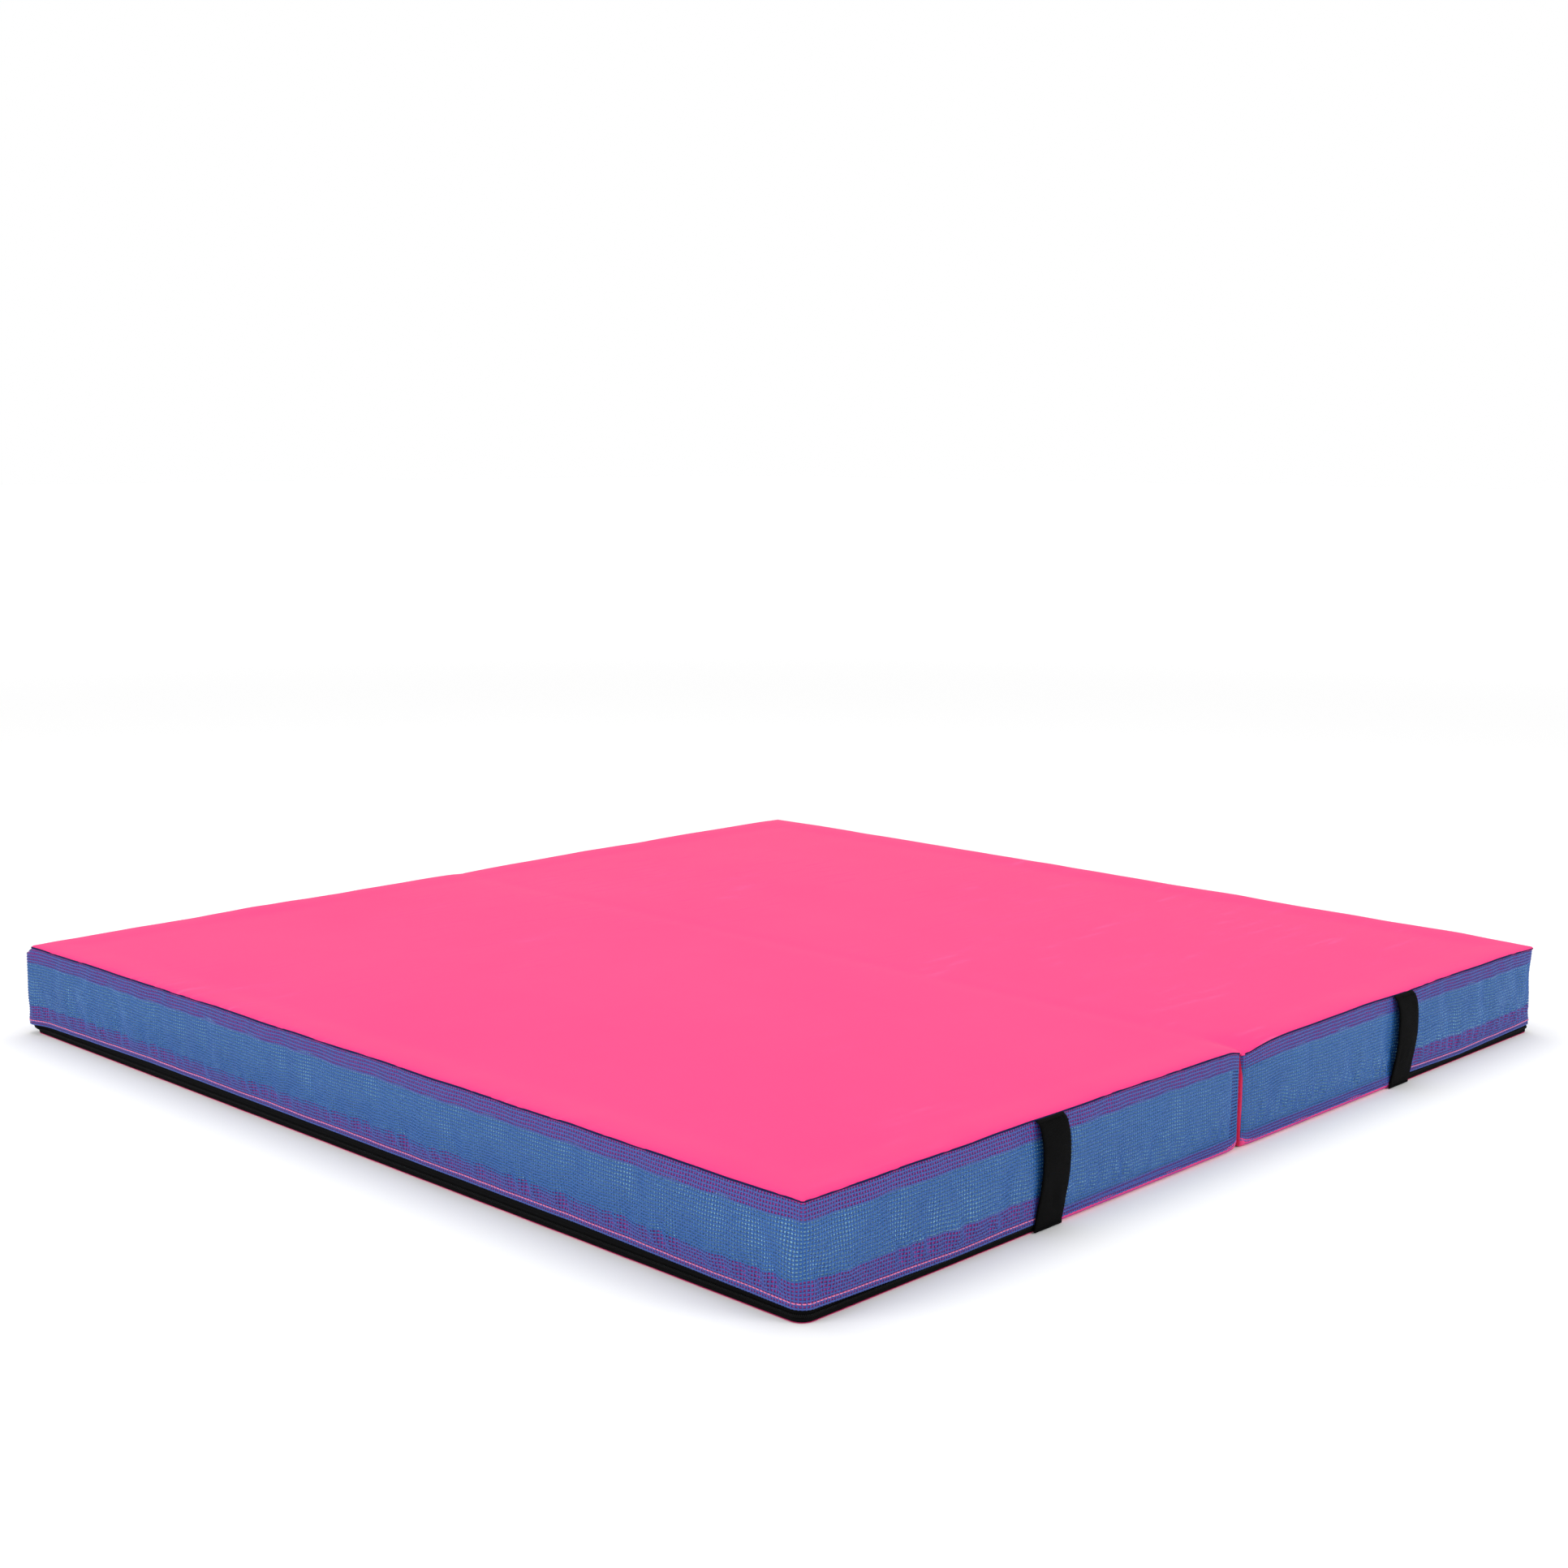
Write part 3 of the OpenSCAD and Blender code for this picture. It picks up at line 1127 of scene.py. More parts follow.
    def swell(self, along: Array, share: Array) -> Array:
        """How far the cloth stands out from the plain outline.

        Args:
            along: Distances along the wall.
            share: Shares of its height.

        Returns:
            The distances, negative where the cloth is pulled in.
        """
        near = self.from_fold(along)
        seed = self.half.seed(31, 57)
        body = np.sin(math.pi * np.clip(share, 0, 1)) ** 0.8
        wide = Ripple(seed, 240 * MM, 0.8 * MM, 0.6)(along, share * 0.1)
        folds = Ripple(seed + 1, 52 * MM, 0.9 * MM, 0.7)(along, share * 0.1)
        full = (self.fullness + folds * ease(share, 0.15, 0.32)) * body
        if self.creases is not None:
            full = 0.3 * self.fullness * body + self.creases(*np.broadcast_arrays(along, share))
        puckers = Ripple(seed + 2, 17 * MM, 0.75 * MM, 0.4)(along, share * 0.1)
        top_puckers = Ripple(seed + 3, 24 * MM, 0.35 * MM, 0.5)(along, share * 0.1)
        out = full + wide * body * ease(share, 0.1, 0.3)
        past_corner = along - self.run + self.end_run
        reach = np.where(past_corner > 0, *self.bulge_reach)
        far_corner = np.exp(-((past_corner / reach) ** 2)) * ease(share, 0.02, 0.12)
        out = out + self.far_corner_bulge * far_corner * ease(1 - share, 0.0, 0.09)
        out = out + puckers * np.exp(-((share - 0.27) / 0.12) ** 2) * ease(share, 0.15, 0.23)
        out = out + top_puckers * np.exp(-((1 - share) / 0.12) ** 2) * ease(1 - share, 0.0, 0.05)
        return out * ease(near, 0.0, self.calm)

    def drift(self, along: Array, share: Array) -> Array:
        """How far the rows of the cloth wander up and down, which they do most above the hem.

        Args:
            along: Distances along the wall.
            share: Shares of its height.

        Returns:
            The distances, positive upwards.
        """
        seed = self.half.seed(83, 97)
        waves = Ripple(seed, 45 * MM, 0.5 * MM)(along) + Ripple(seed + 1, 19 * MM, 0.25 * MM)(along)
        shape = np.sin(math.pi * np.clip(share, 0, 1)) * np.exp(-((share - 0.36) / 0.3) ** 2)
        near = self.from_fold(along)
        by_strap, by_corner, on_side = self.hem_levels
        marks = (0.0, self.end_run * 0.5, self.end_run * 0.72, self.end_run, self.end_run + 0.25)
        hem = np.interp(near, marks, (0.0, by_strap, by_corner, (by_corner + on_side) / 2, on_side))
        hem = hem * ease(share, 0.085, 0.1) * (1 - ease(share, 0.2, 0.6))
        by_fold = np.exp(-((np.clip(near, 0, None) / (8 * MM)) ** 2))
        foot = self.foot_lift * by_fold * np.clip(1 - share, 0, 1) ** 4
        return waves * shape * ease(share, 0.14, 0.26) * ease(near, 0.0, self.calm) + foot + hem

    def point(self, along: Array, share: Array, out: Array | float = 0.0) -> tuple[Array, Array]:
        """Places on the wall and the directions out of it.

        Args:
            along: Distances along the wall.
            share: Shares of its height.
            out: How far the places stand out from the cloth.

        Returns:
            The places and the outward normals, (..., 3) each.
        """
        x, y, nx, ny = self.outline(along, share)
        off = self.swell(along, share) + out
        side = self.half.value
        z = share * self.seam(along) + self.drift(along, share)
        place = np.stack([side * (x + nx * off), y + ny * off, z], axis=-1)
        return place, np.stack([side * nx, ny, np.zeros_like(nx)], axis=-1)

    def at_height(self, along: Array, z: Array | float, out: Array | float = 0.0) -> tuple[Array, Array]:
        """The same as point, for heights above the floor."""
        return self.point(along, z / self.seam(along), out)

    @property
    def flip(self) -> bool:
        """Whether faces laid from the fold and upwards have to be turned to look out."""
        return self.half is Half.A


@dataclass(frozen=True)
class WallCloth:
    """Simulation of one side wall's cloth, which is cut a little longer than the seams that hold it.

    Attributes:
        form: The wall.
        step: Distance between the grid's columns.
        rows: Number of the grid's rows.
        hem: Share of the height up to which the hem holds the cloth.
        spare: How much larger than the stretched wall the cloth is cut.
        push: Pressure of the foam behind the cloth.
        frames: Number of frames that the simulation runs.
        limit: Largest height of a fold.
        boost: How much the folds are raised against the wall's mean bulge.
        unevenness: Height of the cloth's unevenness before it settles.
    """

    form: HalfForm
    step: float = 5 * MM
    rows: int = 19
    hem: float = 0.17
    spare: float = 0.0055
    push: float = 0.9
    frames: int = 20
    limit: float = 4.5 * MM
    boost: float = 1.3
    unevenness: float = 0.75 * MM

    def grid(self) -> tuple[Array, Array, Array, Array]:
        """Places of the cloth before the simulation.

        Returns:
            The places, the outward normals, the shares of the height and the distances along the wall.
        """
        form = self.form
        along, share = np.meshgrid(
            np.linspace(0, form.run, round(form.run / self.step) + 1), np.linspace(0, 1, self.rows)
        )
        x, y, nx, ny = form.outline(along, share)
        side = form.half.value
        normals = np.stack([side * nx, ny, np.zeros_like(nx)], axis=-1)
        places = np.stack([side * x, y, share * form.seam(along)], axis=-1)
        return places, normals, share, along

    def settle(self, cloth: bpy.types.Object) -> Array:
        """Runs the simulation on the cloth.

        Args:
            cloth: The cloth, which is left in place.

        Returns:
            Where its points end.
        """
        modifier = cloth.modifiers.new("cloth", "CLOTH")
        made = modifier.settings
        made.quality = 6
        made.mass = 0.3
        made.tension_stiffness = made.compression_stiffness = 15.0
        made.shear_stiffness = 5.0
        made.bending_stiffness = 3.0
        made.air_damping = 1.0
        made.vertex_group_mass = "held"
        made.shrink_min = -self.spare
        made.use_pressure = True
        made.uniform_pressure_force = self.push
        made.effector_weights.gravity = 0.0
        modifier.collision_settings.use_collision = False
        modifier.collision_settings.use_self_collision = False
        modifier.point_cache.frame_start, modifier.point_cache.frame_end = 1, self.frames
        scene = bpy.context.scene
        for step in range(1, self.frames + 1):
            scene.frame_set(step)
        mesh = cloth.evaluated_get(bpy.context.evaluated_depsgraph_get()).data
        ends = np.empty(len(mesh.vertices) * 3)
        mesh.vertices.foreach_get("co", ends)
        scene.frame_set(1)
        return ends.reshape(-1, 3)

    def run(self) -> Creases:
        """Simulates the cloth.

        Returns:
            The folds that it has taken on.
        """
        places, normals, share, along = self.grid()
        rows, columns = share.shape
        body = np.sin(math.pi * np.clip((share - self.hem) / (1 - self.hem), 0, 1))
        start = Ripple(401 + self.form.half.value, 44 * MM, self.unevenness, 0.6)(along, share * 0.1) * body
        uneven = (places + normals * start[..., None]).reshape(-1, 3)
        cloth = make_piece("wall_cloth", uneven, grid_quads(rows, columns, flip=self.form.flip))
        held = (share < self.hem) | (share > 0.999) | (self.form.from_fold(along) < 1.5 * self.step)
        group = cloth.vertex_groups.new(name="held")
        group.add(np.flatnonzero(held.ravel()).tolist(), 1.0, "REPLACE")
        ends = self.settle(cloth).reshape(rows, columns, 3)
        bpy.data.objects.remove(cloth)
        heights = ((ends - places) * normals).sum(axis=-1)
        for _ in range(3):
            inner = heights[:, 1:-1] / 2 + (heights[:, :-2] + heights[:, 2:]) / 4
            heights[:, 1:-1] = inner
            heights[1:-1] = heights[1:-1] / 2 + (heights[:-2] + heights[2:]) / 4
        level = heights.mean(axis=1, keepdims=True)
        heights = level + (heights - level) * self.boost
        heights = self.limit * np.tanh(heights / self.limit)
        highest = np.abs(heights).max() / MM
        log.info("wall cloth of half %s: folds up to %.2f mm", self.form.half.letter, highest)
        return Creases(self.form.run, np.round(heights, 5))


@dataclass(frozen=True)
class MatSizes:
    """Sizes of the mat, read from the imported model."""

    fold_x: float
    reach_x: float
    reach_y: float
    thickness: float
    strap_x: float
    strap_width: float
    strap_out: float

    @classmethod
    def from_frame(cls) -> "MatSizes":
        """Reads the sizes from the CAD nodes' boxes.

        Returns:
            The sizes.
        """
        mesh_low, mesh_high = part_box("mesh_wall_b")
        strap_low, strap_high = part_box("far_strap_b")
        return cls(
            fold_x=mesh_low[0],
            reach_x=mesh_high[0],
            reach_y=mesh_high[1],
            thickness=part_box("top_panel_b")[1][2],
            strap_x=(strap_low[0] + strap_high[0]) / 2,
            strap_width=strap_high[0] - strap_low[0],
            strap_out=strap_high[1] - mesh_high[1],
        )

    def form(self, half: Half) -> HalfForm:
        """The surface form of a half's side wall.

        Args:
            half: The half.

        Returns:
            The form.
        """
        plain = HalfForm(half, self.fold_x, self.reach_x, self.reach_y, self.thickness - 1.0 * MM)
        if half is Half.A:
            return replace(
                plain,
                near_radius=14 * MM,
                fold_dip=3.8 * MM,
                dip_reach=11 * MM,
                far_corner_bulge=7.0 * MM,
                hem_levels=(-3.0 * MM, -3.6 * MM, 4.6 * MM),
            )
        return replace(
            plain,
            near_radius=10 * MM,
            near_power=7.0,
            fold_dip=5.8 * MM,
            dip_reach=32 * MM,
            lap=1.1 * MM,
            hem_levels=(-1.0 * MM, -4.0 * MM, 2.0 * MM),
        )


# ------------------------------------------------------------
# Pieces
# ------------------------------------------------------------


@dataclass
class TopSheet:
    """The coated sheet over both halves, turned down at its edges and bent at the fold.

    Attributes:
        overhang: Height of the sheet's face over the top seam.
        edge_round: Width of the rounding at its edges.
        thickness: Thickness of the sheet.
        plateau: Height of its middle over the CAD panel.
        slope: Width of the slope from the edges up to the middle.
        lip: Height of the fuller band inside the edges.
        lip_reach: Width over which that band rises.
        fold_tuck: How far the edges are drawn in at the fold.
        tuck_reach: How far along the edge that reaches.
        crease_depth: Depth of the crease at the fold.
        crease_reach: Half its width.
        bend_half: Half the width of the strip that bends; not used.
        turned_edge: How far out and down each ring of the turned edge lies.
    """

    sizes: MatSizes
    forms: dict[Half, HalfForm]
    finishes: Finishes
    overhang: float = 0.9 * MM
    edge_round: float = 8 * MM
    thickness: float = 1.1 * MM
    plateau: float = 0.5 * MM
    slope: float = 55 * MM
    lip: float = 1.6 * MM
    lip_reach: float = 30 * MM
    fold_tuck: float = 1.6 * MM
    tuck_reach: float = 5 * MM
    crease_depth: float = 0.5 * MM
    crease_reach: float = 16 * MM
    bend_half: float = 4.5 * MM
    turned_edge: tuple[tuple[float, float], ...] = (
        (0.7 * MM, 0.5 * MM), (0.9 * MM, 1.5 * MM), (0.3 * MM, 2.3 * MM), (-2.5 * MM, 2.6 * MM),
    )

    def spread(self, reach: float, edge: float, middle: float) -> Array:
        """Places across the sheet, close together at its edges and its middle.

        Args:
            reach: Distance of the sheet's edge from its middle.
            edge: Smallest step at the edge.
            middle: Smallest step at the middle.

        Returns:
            The places, from -reach to reach.
        """
        steps, at = [0.0], 0.0
        while at < reach:
            step = min(11 * MM, middle + 0.12 * at, edge + 0.12 * (reach - at))
            at += step
            steps.append(at)
        half_line = np.array(steps) * reach / steps[-1]
        return np.concatenate([-half_line[:0:-1], half_line])

    def edge_height(self, x: Array, y: Array) -> Array:
        """Height of the seam at the nearest edge, mixed near the corners.

        Args:
            x: Places across the fold.
            y: Places along it.

        Returns:
            The heights.
        """
        total, weights = np.zeros_like(x), np.zeros_like(x)
        for half, form in self.forms.items():
            mine = (x * half.value >= 0).astype(float)
            out_x = np.clip(np.abs(x) - self.sizes.fold_x, 0, form.end_run)
            near_end = form.seam(out_x)
            far_end = form.seam(form.run - out_x)
            side = form.seam(form.end_run + np.clip(y + self.sizes.reach_y, 0, 2 * self.sizes.reach_y))
            for height, gap in (
                (near_end, y + self.sizes.reach_y),
                (far_end, self.sizes.reach_y - y),
                (side, self.sizes.reach_x - np.abs(x)),
            ):
                weight = mine * np.exp(-np.clip(gap, 0, None) / (7 * MM)) + 1e-9 * mine
                total += weight * height
                weights += weight
        return total / weights

    def surface(self) -> Array:
        """Upper face of the sheet, rounded down at its edges.

        Returns:
            The places, (rows, columns, 3).
        """
        sizes = self.sizes
        xs = self.spread(sizes.reach_x, 0.8 * MM, 0.5 * MM)
        ys = self.spread(sizes.reach_y, 0.8 * MM, 9 * MM)
        x, y = np.meshgrid(xs, ys)
        gap_x, gap_y = sizes.reach_x - np.abs(x), sizes.reach_y - np.abs(y)
        gap = np.minimum(gap_x, gap_y)
        rounding = np.sqrt(np.clip(1 - np.clip(1 - gap / self.edge_round, 0, 1) ** 2, 0, 1))
        uneven = Ripple(71, 320 * MM, 0.3 * MM, 1.0)(x, y)
        crease = self.crease_depth * np.exp(-((x / self.crease_reach) ** 2))
        crown = sizes.thickness + self.plateau + uneven - crease
        seam = self.edge_height(x, y) + self.overhang
        inner = ease(gap, 0.0, self.slope)
        level = seam + (crown - seam) * inner
        lip = self.lip * np.sqrt(np.clip(gap / self.lip_reach, 0, 1)) * (1 - inner)
        z = seam - 1.0 * MM + (level + lip - seam + 1.0 * MM) * rounding
        corner = self.forms[Half.A].high_radius
        u, v = np.clip(corner - gap_x, 0, corner) / corner, np.clip(corner - gap_y, 0, corner) / corner
        in_corner = (u > 0) & (v > 0)
        round_u, round_v = u * np.sqrt(1 - v * v / 2), v * np.sqrt(1 - u * u / 2)
        x = np.where(in_corner, np.sign(x) * (sizes.reach_x - corner + corner * round_u), x)
        y = np.where(in_corner, np.sign(y) * (sizes.reach_y - corner + corner * round_v), y)
        tuck = self.fold_tuck * np.exp(-((x / self.tuck_reach) ** 2)) * ease(-gap_y, -12 * MM, 0.0)
        return np.stack([x, y - np.sign(y) * tuck, z], axis=-1)

    def skirt(self, edge: Array) -> list[Array]:
        """Rings of points that turn the sheet down over the walls and in under its edge.

        Args:
            edge: Places round the sheet's edge.

        Returns:
            The rings, from the top down.
        """
        way = (np.roll(edge, -1, axis=0) - np.roll(edge, 1, axis=0))[:, :2]
        out = np.stack([way[:, 1], -way[:, 0], np.zeros(len(edge))], axis=-1)
        out /= np.linalg.norm(out, axis=1)[:, None]
        return [edge + out * reach - np.array([0, 0, drop]) for reach, drop in self.turned_edge]

    def build(self) -> bpy.types.Object:
        """Makes the sheet.

        Returns:
            The piece.
        """
        surface = self.surface()
        rows, columns = surface.shape[:2]
        index = np.arange(rows * columns).reshape(rows, columns)
        last = np.concatenate([index[0, :-1], index[:-1, -1], index[-1, :0:-1], index[:0:-1, 0]])
        flat = surface.reshape(-1, 3)
        layers, quads = [flat], [grid_quads(rows, columns)]
        for ring in self.skirt(flat[last]):
            new = np.arange(len(ring)) + sum(len(layer) for layer in layers)
            quads.append(np.stack([last, new, np.roll(new, -1), np.roll(last, -1)], axis=-1))
            layers.append(ring)
            last = new
        everything = np.concatenate(layers)
        sheet = make_piece("top_sheet", everything, np.concatenate(quads), uv=everything[:, :2])
        thicken(sheet, self.thickness)
        dress(sheet, self.finishes.top_sheet)
        Half.A.body
        Half.B.body
        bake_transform(sheet)
        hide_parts("top_panel_a", "top_panel_b")
        return sheet


@dataclass
class FoamBlock:
    """The foam of one half, a little inside its cover.

    Attributes:
        depth: Distance of the foam behind the mesh.
        fold_draw: How far the foam is drawn back at the fold.
        draw_reach: How far along the wall that reaches.
        step: Distance between the places along the wall.
        section: Share of the height and further depth in mm of each ring, from the bottom up.
    """

    sizes: MatSizes
    form: HalfForm
    finishes: Finishes
    depth: float = 0.85 * MM
    fold_draw: float = 9 * MM
    draw_reach: float = 8 * MM
    step: float = 4 * MM
    section: tuple[tuple[float, float], ...] = (
        (0.025, 3.4), (0.04, 2.0), (0.09, 1.6), (0.17, 1.4), (0.28, 0.6), (0.4, 0.0), (0.52, 0.0),
        (0.64, 0.0), (0.75, 0.0), (0.85, 0.2), (0.92, 0.4), (0.965, 1.4), (0.975, 3.0),
    )

    def build(self) -> bpy.types.Object:
        """Makes the foam block.

        Returns:
            The piece.
        """
        form = self.form
        along = form.stations(-form.wrap, form.run + form.wrap, self.step)
        near = np.clip(form.from_fold(along), 0, None)
        drawn = self.fold_draw * np.exp(-((near / self.draw_reach) ** 2))
        rings = []
        for share, further in self.section:
            depth = self.depth + further * MM
            wall, _ = form.point(along, np.full_like(along, share), -depth - drawn)
            wall[:, 0] = form.half.value * np.maximum(np.abs(wall[:, 0]), self.sizes.fold_x + 1.2 * MM)
            rings.append(wall)
        points = np.concatenate(rings)
        quads = grid_quads(len(rings), len(along), closed=True, flip=form.flip)
        caps = self.fans(len(along), len(rings))
        centres = np.array([
            [form.half.value * self.sizes.reach_x / 2, 0, points[0, 2]],
            [form.half.value * self.sizes.reach_x / 2, 0, points[:, 2].mean() * 2 - points[0, 2]],
        ])
        points = np.concatenate([points, centres])
        foam = make_piece(form.half.node("foam_block"), points, quads, caps=caps)
        mount(foam, form.half, self.finishes.foam, "foam_core")
        return foam

    def fans(self, columns: int, rows: int) -> list[list[int]]:
        """Triangles that close the block's bottom and top round a middle point each.

        Args:
            columns: Number of points round the block.
            rows: Number of rings.

        Returns:
            Three point indices for each triangle.
        """
        bottom, top = rows * columns, rows * columns + 1
        last = (rows - 1) * columns
        faces = []
        for i in range(columns):
            j = (i + 1) % columns
            faces.append([bottom, j, i])
            faces.append([top, last + i, last + j])
        return [face[::-1] for face in faces] if self.form.flip else faces


@dataclass
class BottomSheet:
    """The coated sheet under one half, turned up round its edge.

    Attributes:
        plain_turn: Height of the turned-up edge between the straps and the fold.
        zipped_turn: Its height below the zip.
        corner_turn: Its height at the corners.
        corner_reach: How far along the wall the corners' height reaches.
        zip_tuck: How far the edge is tucked in below the zip.
        zip_ease: Where the zip's part sets in, from a strap's middle.
        curl: Rise of the edge at the fold.
        step: Distance between the places along the wall.
        profile: How far out in mm, and at which share of its height, each ring of the edge lies.
    """

    sizes: MatSizes
    form: HalfForm
    finishes: Finishes
    plain_turn: float = 5.2 * MM
    zipped_turn: float = 0.5 * MM
    corner_turn: float = 0.25 * MM
    corner_reach: float = 170 * MM
    zip_tuck: float = 1.1 * MM
    zip_ease: tuple[float, float] = (-6 * MM, 14 * MM)
    curl: float = 5.0 * MM
    step: float = 5 * MM
    profile: tuple[tuple[float, float], ...] = (
        (-4.4, 0), (-3.2, 0.04), (-1.9, 0.17), (-0.7, 0.45),
        (0.0, 0.75), (0.2, 0.92), (0.0, 1.0), (-1.4, 1.03),
    )

    def build(self) -> bpy.types.Object:
        """Makes the sheet.

        Returns:
            The piece.
        """
        form = self.form
        along = form.stations(-form.wrap, form.run + form.wrap, self.step)
        fold = np.linspace(0, 1, 160)[1:-1]
        near = form.from_fold(along)
        strap_way = self.sizes.strap_x - self.sizes.fold_x
        zipped = ease(near, *(strap_way + shift for shift in self.zip_ease))
        turn = self.plain_turn + (self.zipped_turn - self.plain_turn) * zipped
        by_corner = np.exp(-((near - form.end_run) / self.corner_reach) ** 2)
        by_corner = by_corner * ease(near, strap_way, strap_way + 60 * MM)
        turn = turn + (self.corner_turn - self.zipped_turn) * by_corner
        turn = turn * (1 + Ripple(91, 60 * MM, 0.1)(along))
        rings = []
        swell = form.swell(along, np.full_like(along, 0.02))
        rim = 0.2 * MM - self.zip_tuck * zipped
        curled = self.curl * np.exp(-((np.clip(near, 0, None) / (9 * MM)) ** 1.3))
        for out, up in self.profile:
            wall, _ = form.point(along, np.zeros_like(along), out * MM - swell * (out < -1) + rim)
            wall[:, 2] = up * turn + curled * up**0.7
            back = wall[-1] + (wall[0] - wall[-1]) * fold[:, None]
            edge = np.minimum(fold, 1 - fold) * 2 * self.sizes.reach_y
            back[:, 2] = wall[0, 2] - 3 * MM * up * (1 - np.exp(-edge / (40 * MM)))
            rings.append(np.concatenate([wall, back]))
        centre = np.array([[form.half.value * self.sizes.reach_x / 2, 0, 0.0]])
        rings.insert(0, centre + (rings[0] - centre) * 0.97)
        points = np.concatenate(rings)
        columns = len(rings[0])
        quads = grid_quads(len(rings), columns, closed=True, flip=form.flip)
        middle = len(points)
        fan = [[middle, (i + 1) % columns, i] for i in range(columns)]
        fan = [face[::-1] for face in fan] if form.flip else fan
        points = np.concatenate([points, centre])
        sheet = make_piece(form.half.node("bottom_sheet"), points, quads, caps=fan, uv=points[:, :2])
        flat = (form.end_run + 8 * MM, 2 * self.sizes.reach_y + 8 * MM)
        return mount(sheet, form.half, self.finishes.bottom_sheet, "bottom_panel", flat)


@dataclass
class FoldWall:
    """The coated wall of one half along the fold, lapped over the mesh at its two upright edges."""

    sizes: MatSizes
    form: HalfForm
    finishes: Finishes
    rows: int = 26
    columns: int = 110
    top_draw: float = 2.6 * MM

    def path(self) -> Array:
        """Places of the columns along the side wall, from the near lap to the middle of the fold.

        Returns:
            Distances along the wall, negative past its end.
        """
        form = self.form
        bend = form.fold_radius * (math.pi / 2 - 1)
        lap = np.linspace(form.lap, -bend, 12)
        rest = -bend - (form.reach_y - form.fold_radius) * np.linspace(0, 1, self.columns)[1:] ** 1.3
        return np.concatenate([lap, rest])

    def build(self) -> bpy.types.Object:
        """Makes the wall.

        Returns:
            The piece.
        """
        form = self.form
        near = self.path()
        along, share = np.meshgrid(near, np.linspace(0, 1, self.rows))
        drawn = ease(share, 0.72, 0.98) + 0.25 * (1 - ease(share, 0.1, 0.55))
        along = along - self.top_draw * drawn * ease(along, -3 * self.top_draw, -self.top_draw)
        x, y, nx, ny = form.outline(along, share)
        edge = np.clip(form.reach_y + y, 0, None)
        seed = form.half.seed(131, 141)
        away = ease(edge, 7 * MM, 30 * MM)
        seam = np.minimum(form.seam(np.clip(along, 0, None)), self.sizes.thickness - 0.6 * MM)
        z = 1.5 * MM + (seam - 3.7 * MM) * share
        halves = []
        for end in MatEnd:
            buckle = Ripple(seed, 70 * MM, 0.45 * MM, 1.2)(y * -end.value, share * 0.1)
            buckle = buckle * np.sin(math.pi * share)
            out = form.lap_out * (1 - away) + (0.6 * MM + buckle * 0.5) * away
            out = out - 2.0 * MM * (1 - ease(share, 0.0, 0.06))
            across = form.half.value * (x + nx * out)
            place = np.stack([across, -end.value * (y + ny * out), z], axis=-1)
            halves.append(place if end is MatEnd.NEAR else place[:, -2::-1])
        points = np.concatenate(halves, axis=1)
        rows, columns = points.shape[:2]
        quads = grid_quads(rows, columns, flip=not form.flip)
        uv = points[..., 1:]
        wall = make_piece(form.half.node("fold_skin"), points.reshape(-1, 3), quads, uv=uv.reshape(-1, 2))
        flat = (2 * (form.reach_y + 2 * MM), self.sizes.thickness - 5 * MM)
        return mount(wall, form.half, self.finishes.fold_sheet, "fold_wall", flat)


@dataclass(frozen=True)
class Stretch:
    """A stretch of a side wall.

    Attributes:
        name: What the stretch is called.
        start: Where it starts along the wall.
        stop: Where it stops.
        low: Height of its lower edge.
    """

    name: str
    start: float
    stop: float
    low: float


